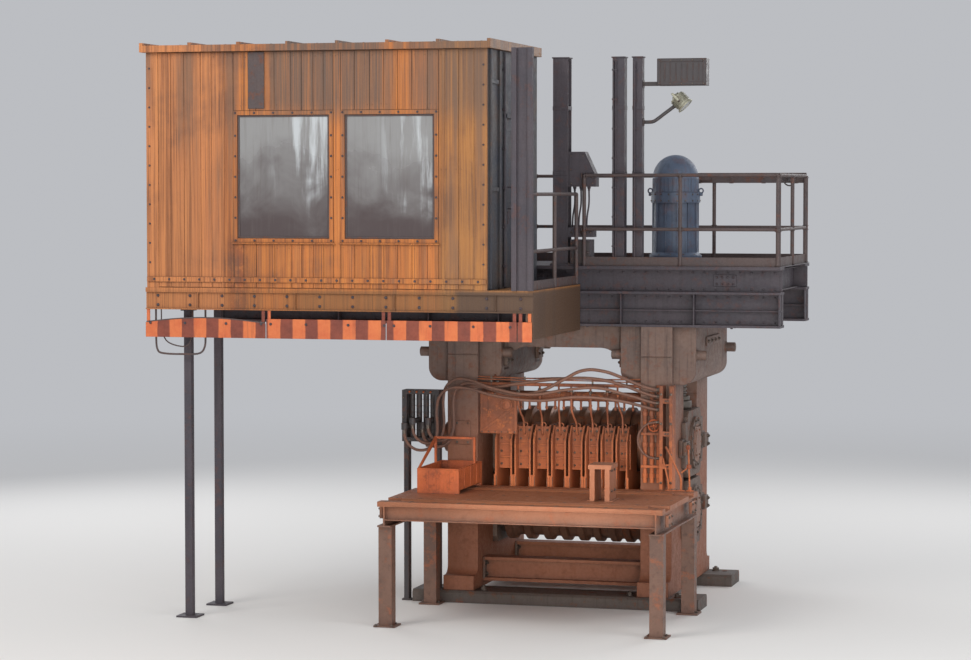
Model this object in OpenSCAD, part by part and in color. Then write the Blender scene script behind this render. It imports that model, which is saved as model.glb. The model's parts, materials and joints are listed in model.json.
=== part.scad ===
// Two-high rolling mill stand with its screw-down platform, control cab and delivery apron.
// +X runs along the roll axis away from the drive side, -Y is the delivery side, +Z is up.
// The origin is the centre of the anchor bolt pattern, on the underside of the sole plates.

/* [Rolls] */
// Height of the pass line over the foundation
pass_z = 1507; // [1450:1:1560]
// Diameter of both roll barrels
roll_d = 850; // [800:5:860]
// Space between the two barrels at the pass line
roll_space = 15; // [10:1:30]
// Length of a roll barrel
barrel_l = 1800; // [1600:10:1900]
// Diameter of the roll necks in their bearings
neck_d = 480; // [400:10:520]
// Length of the round coupling neck on the drive side
drive_neck_l = 240; // [200:10:260]
// Length of the wobbler behind the coupling neck
wobbler_l = 260; // [200:10:300]
// Number of passes cut into a barrel
pass_count = 8; // [6:1:8]
// Width of the widest pass, at the drive side
first_pass_w = 170; // [150:2:180]
// Depth of the widest pass in each roll
first_pass_deep = 58; // [40:1:64]

/* [Chocks] */
// Length of a chock along the roll
chock_l = 500; // [480:10:560]
// Space between a barrel end and its chock
barrel_space = 80; // [70:5:120]
// Space between the bottom and the top chock
chock_space = 45; // [30:5:70]

/* [Housings] */
// Thickness of a housing post along the roll axis
housing_w = 390; // [340:10:400]
// Depth of a housing from post face to post face
housing_d = 2300; // [2240:10:2400]
// Width of the window between the posts
window_w = 900; // [880:10:920]
// Height of the window sill over the foundation
sill_z = 650; // [610:10:660]
// Height of the top of the window
window_top = 2777; // [2740:1:2800]
// Height of the top of the crown, where the girders sit
crown_top = 3447; // [3400:1:3500]
// Width of the crown along the roll axis
cheek_w = 940; // [880:10:960]
// Thickness of the sole plates
sole_h = 150; // [120:10:180]

/* [Platform] */
// Depth of the two main girders
girder_h = 731; // [700:1:760]
// Depth of the lower beam of a girder
girder_low_h = 433; // [400:1:450]
// Width of the girder flanges
flange_w = 300; // [260:10:300]
// Reach of the platform past the right housing's centre plane
platform_right = 1520; // [1450:10:1700]
// Reach of the platform past the left housing's centre plane
platform_left = 3270; // [3200:10:3400]
// Height of the hand rail over the deck
rail_h = 1110; // [1000:10:1200]

/* [Cab] */
// Width of the cab
cab_w = 4200; // [4100:10:4300]
// Depth of the cab in front of the housings
cab_d = 2350; // [2200:10:2450]
// Width of the walkway beside the cab
walk_w = 550; // [500:10:600]
// Height of the cab walls over the floor frame
cab_wall_h = 2830; // [2700:10:2900]
// Thickness of the cab walls
cab_wall_t = 60; // [50:5:80]
// Height of the two cab windows
window_h = 1450; // [1300:10:1500]

/* [Apron] */
// Length of the delivery apron along the bar
apron_l = 2100; // [2000:10:2300]
// Width of the delivery apron
apron_w = 3400; // [3300:10:3500]
// Diameter of the table rollers
table_roller_d = 250; // [220:5:260]

/* [Hidden] */
$fn = 64;

// Clearances
seat = 0.3;
play = 0.3;
lap = 1;

// Rolls
roll_r = roll_d / 2;
neck_r = neck_d / 2;
bottom_roll_z = pass_z - (roll_d + roll_space) / 2;
top_roll_z = pass_z + (roll_d + roll_space) / 2;
barrel_half = barrel_l / 2;
housing_x = barrel_half + barrel_space + chock_l / 2;
pass_w_step = 10;
pass_deep_step = 3;
box_pass = [[-1, 0], [-0.82, 1], [0.82, 1], [1, 0]];
oval_pass = [[-1, 0], [-0.78, 0.55], [-0.42, 0.9], [0, 1], [0.42, 0.9], [0.78, 0.55], [1, 0]];
neck_taper = 35;
cover_t = 30;
cover_wide = 90;
cover_r = neck_r + cover_wide;
neck_out = 10;
neck_end = housing_x + chock_l / 2 + cover_t + neck_out;
drive_end = neck_end + drive_neck_l;
drive_neck_r = 190;
lobe_r = 62;
lobe_out = 105;

// Housings
post_in = housing_x - housing_w / 2;
post_out = housing_x + housing_w / 2;
front_y = -housing_d / 2;
window_r = 130;
foot_over = 200;
foot_d = housing_d + 2 * foot_over;
foot_h = 180;
foot_fillet = 120;
cheek_in = 100;
cheek_d = housing_d - 2 * cheek_in;
cheek_r = 170;
cheek_drop = 40;
seam_down = 370;
cheek_z = window_top - cheek_drop;
seam_z = crown_top - seam_down;
seam_h = 14;
seam_deep = 8;
lug_down = 350;
lug_in = 70;
lug_z = crown_top - lug_down;
lug_r = 60;
lug_l = 120;
lug_y = cheek_d / 2 - lug_in;
screw_r = 150;
screw_play = 12;
screw_bore_r = screw_r + screw_play;
anchor_out = 420;
anchor_x = housing_x + anchor_out;
anchor_in = 130;
anchor_y = foot_d / 2 - anchor_in;
anchor_r = 38;
sole_over = 160;
sole_l = 2 * (anchor_x + sole_over);
sole_w = 560;
sole_out = 60;
sole_y = foot_d / 2 + sole_out - sole_w / 2;
sole_front = -sole_y - sole_w / 2;
sole_chamfer = 30;
tie_d = 240;
tie_mid_h = 268;
tie_end_h = 560;
tie_arch_r = tie_end_h - tie_mid_h;
tie_in = 140;
tie_y = cheek_d / 2 - tie_d / 2 - tie_in;
tie_drop = 10;
bottom_tie_up = 70;
bottom_tie_z = sole_h + bottom_tie_up;
bottom_tie_h = 300;
bottom_tie_d = 240;
bottom_tie_in = 350;
bottom_tie_y = housing_d / 2 - bottom_tie_in;
bottom_tie_flange = 40;

// Chocks
liner_t = 20;
liner_down = 260;
liner_top = window_top - liner_down;
chock_w = window_w - 2 * liner_t - 2 * seat;
chock_low_top = pass_z - chock_space / 2;
chock_high_bottom = pass_z + chock_space / 2;
chock_over = 420;
chock_high_top = top_roll_z + chock_over;
chock_chamfer = 70;
ear_t = chock_l / 2 - housing_w / 2 - seat;
ear_w = 110;
ear_in = 130;
jack_r = 55;
jack_out = 120;
breaker_h = 110;
breaker_r = 210;
collar_r = 185;
collar_h = 60;

// Platform
deck_t = 12;
deck_left = -housing_x - platform_left;
deck_right = housing_x + platform_right;
deck_z = crown_top + girder_h + deck_t;
flange_t = 30;
web_t = 18;
girder_y = housing_d / 2 - flange_w / 2;
stiffener_t = 16;
stiffener_in = 15;
band_z = 195;
band_t = 16;
stiffener_off = cheek_w / 2 - stiffener_t;
stiffener_places = [deck_left + stiffener_t, deck_left + platform_left / 2, -housing_x - stiffener_off,
    -housing_x + stiffener_off, 0, housing_x - stiffener_off, housing_x + stiffener_off,
    deck_right - stiffener_t];
deck_half = housing_d / 2;
beam_h = girder_h - girder_low_h - flange_t;
beam_w = 140;
beam_flange = 14;
beam_web = 10;
beam_end_in = 180;
beam_out = 820;
rail_r = 21;
rail_post_r = 24;
rail_in = 40;
mid_rail_h = 450;
toe_h = 110;
toe_t = 8;
rail_bay = 1200;
duct_h = 130;
duct_w = 90;
duct_up = 1020;
duct_z = deck_z + duct_up;

// Screw-down drive
gearbox_h = 560;
gearbox_top = crown_top + gearbox_h;
gear_r = 330;
gearbox_foot = 780;
gearbox_foot_w = 900;
gearbox_foot_t = 50;
worm_r = 150;
worm_y = 330;
worm_l = 700;
worm_flange_r = 185;
worm_flange_t = 35;
casing_ribs = 10;
casing_rib_t = 24;
casing_rib_out = 30;
stool_r = 350;
stool_play = 10;
stool_h = 60;
stool_top = deck_z + stool_h;
motor_foot_r = 330;
motor_foot_t = 50;
motor_r = 288;
motor_waist_r = 272;
motor_belt_up = 770;
motor_belt_z = deck_z + motor_belt_up;
motor_belt_h = 130;
motor_belt_r = 308;
motor_h = 1370;
motor_top = deck_z + motor_h;
motor_ribs = 12;
motor_rib_t = 14;
motor_rib_out = 22;
terminal_w = 240;
terminal_d = 150;
terminal_h = 300;
terminal_up = 260;
terminal_in = 60;
shaft_r = 55;
shaft_up = 270;
shaft_z = crown_top + shaft_up;
coupling_r = 105;
coupling_l = 180;
coupling_in = 20;

// Guides
guard_in = 110;
rest_bar_in = 150;
guard_front_y = front_y + guard_in;
rest_bar_y = front_y + rest_bar_in;
rest_bar_d = 300;
rest_bar_h = 280;
rest_bar_down = 140;
rest_bar_top = pass_z - rest_bar_down;
slot_w = 60;
slot_d = 50;
guide_t = 20;
guide_side = 4;
guide_high = 690;
guide_nose_y = -250;
guide_nose_h = 78;
guide_back = 45;
guide_back_y = -roll_r - guide_back;
guide_roll_space = 18;
guide_cover_t = 30;
header_r = 60;
header_in = 270;
header_up = 195;
header_y = front_y + header_in;
header_z = top_roll_z + roll_r + header_up;
header_flange_r = 95;
header_flange_t = 25;
nozzle_r = 14;
nozzle_l = 170;
nozzle_pitch = 110;
guard_w = 480;
guard_h = 520;
guard_t = 16;
guard_up = 150;
guard_z = top_roll_z + guard_up;
guard_knob_r = 70;

// Cab
cab_front = front_y - cab_d;
cab_left = deck_left + 20;
cab_right = cab_left + cab_w;
frame_right = cab_right + walk_w;
frame_up = 253;
frame_z = crown_top + frame_up;
frame_h = 220;
frame_t = 90;
frame_lip = 14;
frame_recess = 25;
joist_count = 11;
joist_step = (frame_right - deck_left - frame_t) / joist_count;
cab_z = frame_z + frame_h;
cab_top = cab_z + cab_wall_h;
cab_back = front_y - seat;
cab_floor_t = 40;
floor_top = cab_z + cab_floor_t;
window_up = 630;
window_z = cab_z + window_up;
window_1_in = 1150;
window_1_w = 1140;
mullion_w = 190;
window_2_w = 1090;
windows = [
    [cab_left + window_1_in, window_1_w],
    [cab_left + window_1_in + window_1_w + mullion_w, window_2_w]];
surround_w = 50;
surround_t = 14;
glass_t = 10;
glass_in = 25;
corner_w = 150;
corner_t = 10;
wall_rib_w = 60;
wall_rib_t = 30;
wall_rib_step = 700;
roof_t = 110;
roof_over = 60;
roof_rib_h = 30;
roof_rib_w = 40;
roof_rib_step = 600;
door_w = 800;
door_h = 2000;
door_in_y = 1500;
door_y = front_y - door_in_y;
door_t = 40;
door_in = 10;
door_frame = 110;
door_panel_in = 12;
door_panels = [[150, 850], [1000, 1850]];
hinge_r = 14;
hinge_h = 120;
hinge_in = 250;
cab_post_x = deck_left + joist_step + frame_t / 2;
cab_post_in = 200;
cab_post_pitch = 1000;
cab_post_y1 = cab_front + cab_post_in;
cab_post_y2 = cab_post_y1 + cab_post_pitch;
cab_post_w = 90;
cab_post_foot = 260;
cab_post_foot_t = 20;
cab_post_cap = 150;
skirt_t = 10;
skirt_drop = 100;
skirt_top = frame_z - skirt_drop;
skirt_h = 230;
skirt_bottom = skirt_top - skirt_h;
skirt_w1 = 1525;
skirt_w2 = 1485;
skirt_w3 = 1580;
skirt_joints = [deck_left, deck_left + skirt_w1, deck_left + skirt_w1 + skirt_w2,
    deck_left + skirt_w1 + skirt_w2 + skirt_w3, frame_right];
skirt_bow = 55;
skirt_steps = 12;
skirt_bar = 40;
skirt_bar_in = 10;
skirt_lap = 80;
skirt_slit = 12;
outrigger_in = 2 * skirt_t + seat;
outrigger_h = 300;
screen_w = 250;
screen_t = 40;

// Service columns on the deck: distance from the floor frame's right edge, width
column_top = cab_top;
columns = [[-270, 190], [455, 150], [690, 120]];
column_in = 170;
column_y = -deck_half + column_in;
column_flange = 16;
column_web = 12;
column_foot_over = 30;
column_foot_t = 20;
lamp_up = 1760;
lamp_z = deck_z + lamp_up;
lamp_arm_r = 22;
lamp_arm_l = 120;
lamp_rise = 250;
lamp_out = 470;
lamp_head_r = 95;
lamp_head_l = 170;
lamp_rim_r = 110;
lamp_rim_t = 20;
gear_case_up = 2200;
gear_case_z = deck_z + gear_case_up;
gear_case_x = 190;
gear_case_w = 610;
gear_case_h = 330;
gear_case_d = 200;
gear_bar = 50;
cabinet_w = 260;
cabinet_d = 200;
cabinet_h = 320;
bracket_up = 350;
bracket_z = deck_z + bracket_up;
bracket_w = 320;
bracket_h = 120;
box_up = 970;
box_z = deck_z + box_up;
box_w = 350;
box_h = 430;
box_d = 180;

// Apron
apron_down = 27;
apron_gap = 280;
apron_top = pass_z - apron_down;
apron_back = front_y - apron_gap;
apron_front = apron_back - apron_l;
apron_x = 100;
apron_half = apron_w / 2;
apron_plate_t = 40;
apron_beam_h = 260;
apron_beam_w = 160;
apron_beam_flange = 20;
apron_beam_web = 20;
apron_low = apron_top - apron_plate_t - apron_beam_h;
apron_leg = 160;
apron_foot = 260;
apron_foot_t = 20;
roller_in = 400;
roller_out = 300;
roller_y1 = apron_back - roller_in;
roller_y2 = apron_front + roller_out;
roller_slot = table_roller_d + 30;
journal_r = 50;
journal_out = 10;
bearing_w = 240;
bearing_l = 120;
bearing_h = 220;
bearing_cut = 30;
roller_proud = 10;
roller_z = apron_top + roller_proud - table_roller_d / 2;
roller_end = 10;
cross_beam_w = 120;
cross_beam_h = 180;

// Scale tray and guide portal on the apron
tray_w = 520;
tray_l = 1050;
tray_in = 180;
tray_gap = 20;
tray_x0 = apron_x - apron_half + tray_in;
tray_x1 = tray_x0 + tray_w;
tray_back = apron_back - tray_gap;
tray_front = tray_back - tray_l;
tray_t = 15;
tray_h = 250;
tray_foot = 60;
tray_up = 40;
tray_z = apron_top + tray_up;
bail_r = 14;
bail_h = 330;
bail_in = 300;
portal_x = 910;
portal_inner = 120;
portal_bar = 60;
portal_d = 350;
portal_gap = 1070;
portal_y = apron_back - portal_gap;
portal_h = 380;
portal_lintel = 50;
portal_over = 20;

// Valve stand beside the left housing
valve_gap = 25;
valve_x1 = -post_out - valve_gap;
valve_w = 480;
valve_x0 = valve_x1 - valve_w;
valve_out = 300;
valve_y = front_y - valve_out;
valve_d = 200;
valve_z = 2000;
valve_h = 640;
valve_plate = 50;
valve_leg = 60;
valve_leg_gap = 20;
valve_leg_in = valve_w - valve_leg - valve_leg_gap;
valve_leg_d = 120;
valve_count = 4;
valve_r = 36;
valve_step = (valve_w - 2 * valve_leg) / valve_count;
valve_foot = 120;
valve_foot_t = 20;
port_r = 34;
port_high = 760;
port_low = 700;

// Pipe stand on the right housing
pipe_plate_t = 40;
pipe_plate_d = 200;
pipe_in = 80;
pipe_w = 120;
pipe_down = 40;
pipe_x0 = housing_x + pipe_in;
pipe_x1 = pipe_x0 + pipe_w;
pipe_top = window_top - pipe_down;
pipe_bar = 60;
pipe_clip = 20;
pipe_bars = [220, 620, 1020];
pipe_r = 28;
pipe_count = 3;
pipe_pitch = 85;
pipe_foot_up = 60;
pipe_foot_z = apron_top + pipe_foot_up;

// Hose routes past their bends: share of housing_x along x, way off the front face in y, height over the pass
// line in z
hose_sides = 8;
hose_r = 20;
hose_thin_r = 18;
loop_r = 13;
hose_lead = 50;
hose_low = [[-0.62, -435, 1175], [-0.34, -440, 1108], [-0.08, -430, 1170], [0.14, -415, 1310],
    [0.33, -390, 1420], [0.52, -330, 1410], [0.7, -260, 1330], [0.86, -190, 1240]];
hose_high = [[-0.62, -350, 1190], [-0.3, -360, 1250], [0.1, -345, 1310], [0.45, -300, 1310],
    [0.72, -220, 1230], [0.88, -160, 1150]];
hose_fine = [[-0.58, -490, 1190], [-0.2, -500, 1120], [0.2, -470, 1190], [0.48, -410, 1210],
    [0.76, -290, 1120]];
hose_last = [[-0.5, -540, 1090], [-0.1, -530, 1050], [0.3, -490, 1100], [0.7, -340, 1050]];

// Bends of each valve's hose: distance off the front face, radius and height of the bend below the valve, radius
// and height of the one above
hose_bends = [[-545, 210, 620, 240, 955], [-495, 200, 690, 220, 1080], [-360, 190, 630, 200, 995],
    [-430, 165, 690, 200, 1045]];
elbow_r = 38;
elbow_down = 40;
elbow_up = 42;
loop_y = -175;
loop_z = 790;
loop_bend = 222;

// Copies of the children at both sides of the YZ plane
module both_x(x) {
    for (s = [-1, 1]) translate([s * x, 0, 0]) children();
}

// Bar with its profile in the YZ plane, centred on x = 0
module along_x(l) {
    rotate([90, 0, 90]) linear_extrude(height = l, center = true) children();
}

// Bar with its profile in the XZ plane, centred on y = 0
module along_y(l) {
    rotate([90, 0, 0]) linear_extrude(height = l, center = true) children();
}

// Round bar that starts at the origin and runs along +X
module rod_x(r, l) {
    rotate([0, 90, 0]) cylinder(r = r, h = l);
}

// Round bar between two points
module rod(a, b, r) {
    d = b - a;
    translate(a) rotate([0, acos(d[2] / norm(d)), atan2(d[1], d[0])]) cylinder(r = r, h = norm(d));
}

// Rectangle with round corners of radius r, kept as true arcs
module round_rect(w, h, r) {
    translate([-w / 2, -h / 2 + r]) square([w, h - 2 * r]);
    translate([-w / 2 + r, -h / 2]) square([w - 2 * r, h]);
    for (sx = [-1, 1], sy = [-1, 1]) translate([sx * (w / 2 - r), sy * (h / 2 - r)]) circle(r = r);
}

// Filler of an inside corner at the origin, towards +x and +y
module fillet(r) {
    difference() {
        square(r);
        translate([r, r]) circle(r = r);
    }
}

// Rolled beam with two flanges, its foot on the x axis
module beam_outline(w, h, flange, web) {
    translate([-w / 2, 0]) square([w, flange]);
    translate([-web / 2, 0]) square([web, h]);
    translate([-w / 2, h - flange]) square([w, flange]);
}

module box(x0, x1, y0, y1, z0, z1) {
    translate([x0, y0, z0]) cube([x1 - x0, y1 - y0, z1 - z0]);
}

// Foundation

module sole_outline() {
    polygon([[-sole_w / 2, 0], [sole_w / 2, 0], [sole_w / 2, sole_h - sole_chamfer],
        [sole_w / 2 - sole_chamfer, sole_h], [-sole_w / 2 + sole_chamfer, sole_h],
        [-sole_w / 2, sole_h - sole_chamfer]]);
}

module sole_plate(side) {
    color("dimgray")
    difference() {
        translate([0, side * sole_y, 0]) along_x(sole_l) sole_outline();
        both_x(anchor_x) translate([0, side * anchor_y, -lap]) cylinder(r = anchor_r, h = sole_h + 2 * lap);
    }
}

module sole_plate_front() sole_plate(-1);
module sole_plate_back() sole_plate(1);

// Housings

module housing_outline() {
    translate([front_y, sole_h]) square([housing_d, crown_top - sole_h]);
    translate([-foot_d / 2, sole_h]) square([foot_d, foot_h]);
    for (s = [0, 1]) mirror([s, 0]) translate([housing_d / 2, sole_h + foot_h]) fillet(foot_fillet);
}

module window_outline() {
    translate([-window_w / 2, sill_z]) square([window_w, window_top - sill_z - window_r]);
    translate([-window_w / 2 + window_r, sill_z]) square([window_w - 2 * window_r, window_top - sill_z]);
    for (s = [-1, 1]) translate([s * (window_w / 2 - window_r), window_top - window_r]) circle(r = window_r);
}

module cheek_outline() {
    h = crown_top - cheek_z;
    translate([-cheek_w / 2, cheek_z + cheek_r]) square([cheek_w, h - cheek_r]);
    translate([-cheek_w / 2 + cheek_r, cheek_z]) square([cheek_w - 2 * cheek_r, cheek_r]);
    for (s = [-1, 1]) translate([s * (cheek_w / 2 - cheek_r), cheek_z + cheek_r]) circle(r = cheek_r);
}

// Seam where the machined band of a post meets the rough crown
module seam_cut() {
    for (s = [-1, 1])
        translate([0, s * housing_d / 2, seam_z])
            cube([housing_w + 2 * lap, 2 * seam_deep, seam_h], center = true);
}

module housing(side) {
    color([0.36, 0.30, 0.27])
    translate([side * housing_x, 0, 0]) {
        difference() {
            union() {
                along_x(housing_w) housing_outline();
                along_y(cheek_d) cheek_outline();
                for (y = [-lug_y, lug_y])
                    translate([0, y, lug_z]) rotate([0, 90, 0])
                        cylinder(r = lug_r, h = cheek_w + 2 * lug_l, center = true);
            }
            along_x(cheek_w + 2) window_outline();
            translate([0, 0, window_top - lap])
                cylinder(r = screw_bore_r, h = crown_top - window_top + 2 * lap);
            seam_cut();
        }
        for (s = [-1, 1])
            translate([-housing_w / 2, s * (window_w / 2 - liner_t / 2) - liner_t / 2, sill_z - lap])
                cube([housing_w, liner_t, liner_top - sill_z + lap]);
    }
}

module housing_left() housing(-1);
module housing_right() housing(1);

module bottom_ties() {
    color([0.30, 0.26, 0.24])
    for (s = [-1, 1])
        translate([0, s * bottom_tie_y, bottom_tie_z])
            along_x(2 * post_in)
                beam_outline(bottom_tie_d, bottom_tie_h, bottom_tie_flange, 2 * bottom_tie_flange);
}

module top_tie_outline(half) {
    difference() {
        translate([-half, -tie_end_h]) square([2 * half, tie_end_h]);
        translate([-half + tie_arch_r, -tie_end_h - lap]) square([2 * (half - tie_arch_r), tie_arch_r + lap]);
        for (s = [-1, 1]) translate([s * (half - tie_arch_r), -tie_end_h]) circle(r = tie_arch_r);
    }
}

module top_ties() {
    color([0.36, 0.30, 0.27])
    for (s = [-1, 1])
        translate([0, s * tie_y, crown_top - tie_drop])
            along_y(tie_d) top_tie_outline(housing_x - cheek_w / 2);
}

// Chocks

module chock_outline(low, high) {
    w = chock_w / 2;
    c = chock_chamfer;
    polygon([[-w + c, low], [w - c, low], [w, low + c], [w, high - c], [w - c, high], [-w + c, high],
        [-w, high - c], [-w, low + c]]);
}

// The operator side's chock has ears that lie on the outer face of the posts
module chock(side, low, high, axis_z) {
    color([0.33, 0.29, 0.27])
    translate([side * housing_x, 0, 0])
    difference() {
        union() {
            along_x(chock_l) chock_outline(low, high);
            if (side > 0)
                box(chock_l / 2 - ear_t, chock_l / 2, -window_w / 2 - ear_w, window_w / 2 + ear_w,
                    low + ear_in, high - ear_in);
            translate([0, 0, axis_z]) rotate([0, 90, 0])
                cylinder(r = cover_r, h = chock_l + 2 * cover_t, center = true);
        }
        translate([0, 0, axis_z]) rotate([0, 90, 0])
            cylinder(r = neck_r + play, h = chock_l + 2 * cover_t + 2 * lap, center = true);
    }
}

module bottom_chock(side) {
    chock(side, sill_z, chock_low_top, bottom_roll_z);
    color([0.5, 0.5, 0.5])
    translate([side * housing_x, 0, 0])
    for (sx = [-1, 1], sy = [-1, 1])
        translate([sx * chock_l / 4, sy * (neck_r + jack_out), chock_low_top - lap])
            cylinder(r = jack_r, h = chock_space + lap);
}

module bottom_chock_left() bottom_chock(-1);
module bottom_chock_right() bottom_chock(1);
module top_chock_left() chock(-1, chock_high_bottom, chock_high_top, top_roll_z);
module top_chock_right() chock(1, chock_high_bottom, chock_high_top, top_roll_z);

// Rolls

function pass_w(i) = first_pass_w - i * pass_w_step;
function pass_deep(i) = first_pass_deep - i * pass_deep_step;
function width_before(i) = i == 0 ? 0 : pass_w(i - 1) + width_before(i - 1);
collar_w = (barrel_l - width_before(pass_count)) / (pass_count + 1);
function pass_x(i) = -barrel_half + collar_w * (i + 1) + width_before(i) + pass_w(i) / 2;

// Box and oval passes take turns from the widest to the narrowest
function pass_cut(i) = [for (p = i % 2 == 1 ? box_pass : oval_pass)
    [roll_r - p[1] * pass_deep(i), pass_x(i) + p[0] * pass_w(i) / 2]];

module roll_profile() {
    polygon(concat(
        [[0, -drive_end], [drive_neck_r, -drive_end], [drive_neck_r, -neck_end], [neck_r, -neck_end],
            [neck_r, -barrel_half - neck_taper], [neck_r + neck_taper, -barrel_half], [roll_r, -barrel_half]],
        [for (i = [0 : pass_count - 1]) each pass_cut(i)],
        [[roll_r, barrel_half], [neck_r + neck_taper, barrel_half], [neck_r, barrel_half + neck_taper],
            [neck_r, neck_end], [0, neck_end]]));
}

module wobbler_outline() {
    circle(r = lobe_out);
    for (a = [45 : 90 : 315]) rotate(a) translate([lobe_out, 0]) circle(r = lobe_r);
}

module roll(z) {
    color([0.45, 0.36, 0.32])
    translate([0, 0, z])
    union() {
        rotate([0, 90, 0]) rotate_extrude() roll_profile();
        rotate([0, -90, 0]) translate([0, 0, drive_end - lap])
            linear_extrude(height = wobbler_l + lap) wobbler_outline();
    }
}

module bottom_roll() roll(bottom_roll_z);
module top_roll() roll(top_roll_z);

// Screw-down

module screws() {
    color([0.5, 0.47, 0.44])
    both_x(housing_x) translate([0, 0, chock_high_top]) {
        cylinder(r = breaker_r, h = breaker_h);
        translate([0, 0, breaker_h - lap]) cylinder(r = collar_r, h = collar_h + lap);
        cylinder(r = screw_r, h = crown_top - chock_high_top);
    }
}

module screw_gearbox(side) {
    color([0.25, 0.27, 0.29])
    translate([side * housing_x, 0, crown_top])
    difference() {
        union() {
            linear_extrude(height = gearbox_foot_t) round_rect(gearbox_foot, gearbox_foot_w, 60);
            cylinder(r = gear_r, h = gearbox_h);
            for (i = [0 : casing_ribs - 1])
                rotate([0, 0, i * 360 / casing_ribs]) translate([0, -casing_rib_t / 2, 0])
                    cube([gear_r + casing_rib_out, casing_rib_t, gearbox_h - gearbox_foot_t]);
            translate([0, worm_y, shaft_z - crown_top]) rotate([0, 90, 0]) {
                cylinder(r = worm_r, h = worm_l, center = true);
                for (s = [-1, 1])
                    translate([0, 0, s * (worm_l / 2 - worm_flange_t / 2)])
                        cylinder(r = worm_flange_r, h = worm_flange_t, center = true);
            }
            translate([0, 0, gearbox_h - lap]) cylinder(r = stool_r, h = stool_top - gearbox_top + lap);
        }
        translate([0, 0, -lap]) cylinder(r = screw_r + play, h = lap + seat);
    }
}

module screw_gearbox_left() screw_gearbox(-1);
module screw_gearbox_right() screw_gearbox(1);

module motor_profile() {
    foot_top = stool_top + motor_foot_t;
    dome_z = motor_top - motor_r;
    belt_top = motor_belt_z + motor_belt_h;
    polygon([[0, stool_top], [motor_foot_r, stool_top], [motor_foot_r, foot_top], [motor_r, foot_top + 40],
        [motor_waist_r, motor_belt_z], [motor_belt_r, motor_belt_z], [motor_belt_r, belt_top],
        [motor_r, belt_top], [motor_r, dome_z], [0, dome_z]]);
    intersection() {
        translate([0, dome_z]) circle(r = motor_r);
        translate([0, dome_z - lap]) square([motor_r + lap, motor_r + 2 * lap]);
    }
}

module screw_motor(side) {
    color([0.22, 0.25, 0.30])
    translate([side * housing_x, 0, 0]) {
        rotate_extrude() motor_profile();
        for (i = [0 : motor_ribs - 1])
            rotate([0, 0, (i + 0.5) * 360 / motor_ribs])
                box(0, motor_waist_r + motor_rib_out, -motor_rib_t / 2, motor_rib_t / 2,
                    stool_top + motor_foot_t - lap, motor_belt_z + lap);
        translate([-terminal_w / 2, motor_waist_r - terminal_in, stool_top + terminal_up])
            cube([terminal_w, terminal_d, terminal_h]);
    }
}

module screw_motor_left() screw_motor(-1);
module screw_motor_right() screw_motor(1);

module cross_shaft() {
    reach = housing_x - worm_l / 2;
    color([0.4, 0.4, 0.4])
    translate([0, worm_y, shaft_z]) {
        rotate([0, 90, 0]) cylinder(r = shaft_r, h = 2 * reach, center = true);
        both_x(reach - coupling_in - coupling_l / 2)
            rotate([0, 90, 0]) cylinder(r = coupling_r, h = coupling_l, center = true);
    }
}

// Guides

module rest_bar_outline() {
    difference() {
        translate([rest_bar_y, rest_bar_top - rest_bar_h]) square([rest_bar_d, rest_bar_h]);
        translate([rest_bar_y - lap, rest_bar_top - (rest_bar_h + slot_w) / 2]) square([slot_d + lap, slot_w]);
    }
}

module rest_bar_front() {
    color([0.42, 0.24, 0.14]) along_x(2 * post_in) rest_bar_outline();
}

module rest_bar_back() {
    color([0.42, 0.24, 0.14]) mirror([0, 1, 0]) along_x(2 * post_in) rest_bar_outline();
}

// Side plate of a guide box, cut to follow both rolls down to the bite
module guide_outline() {
    difference() {
        union() {
            polygon([[guard_front_y, rest_bar_top], [guide_nose_y, rest_bar_top],
                [guide_nose_y, pass_z + guide_nose_h], [guard_front_y, pass_z + guide_nose_h]]);
            polygon([[guard_front_y, rest_bar_top], [guide_back_y, rest_bar_top],
                [guide_back_y, pass_z + guide_high], [guard_front_y + 140, pass_z + guide_high],
                [guard_front_y, pass_z + guide_high - 180]]);
        }
        for (z = [bottom_roll_z, top_roll_z]) translate([0, z]) circle(r = roll_r + guide_roll_space);
    }
}

module guide_box(i) {
    out = pass_w(i) / 2 + guide_side;
    translate([pass_x(i), 0, 0]) {
        both_x(out + guide_t / 2) along_x(guide_t) guide_outline();
        box(-out - lap, out + lap, guard_front_y + 140, guard_front_y + 140 + guide_cover_t,
            pass_z + guide_nose_h + 60, pass_z + guide_high - 20);
    }
}

module delivery_guides() {
    color([0.55, 0.27, 0.12]) for (i = [0 : pass_count - 1]) guide_box(i);
}

module entry_guides() {
    color([0.50, 0.26, 0.13]) mirror([0, 1, 0]) for (i = [0 : pass_count - 1]) guide_box(i);
}

module water_header() {
    nozzles = floor((2 * post_in - 2 * nozzle_pitch) / nozzle_pitch);
    color([0.42, 0.24, 0.16])
    translate([0, header_y, header_z]) {
        rotate([0, 90, 0]) cylinder(r = header_r, h = 2 * post_in, center = true);
        both_x(post_in - header_flange_t / 2)
            rotate([0, 90, 0]) cylinder(r = header_flange_r, h = header_flange_t, center = true);
        for (i = [0 : nozzles])
            translate([(i - nozzles / 2) * nozzle_pitch, 0, -nozzle_l]) cylinder(r = nozzle_r, h = nozzle_l);
    }
}

module splash_guard() {
    x0 = -post_in;
    color([0.62, 0.30, 0.14]) {
        box(x0, x0 + guard_w, guard_front_y - guard_t, guard_front_y, guard_z, guard_z + guard_h);
        translate([x0 + guard_w - 130, guard_front_y - guard_t, guard_z + guard_h - 160])
            rotate([90, 0, 0]) cylinder(r = guard_knob_r, h = 40);
        box(x0, x0 + 60, guard_front_y - guard_t, guard_front_y + 60, guard_z, guard_z + guard_h);
    }
}

// Platform

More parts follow.
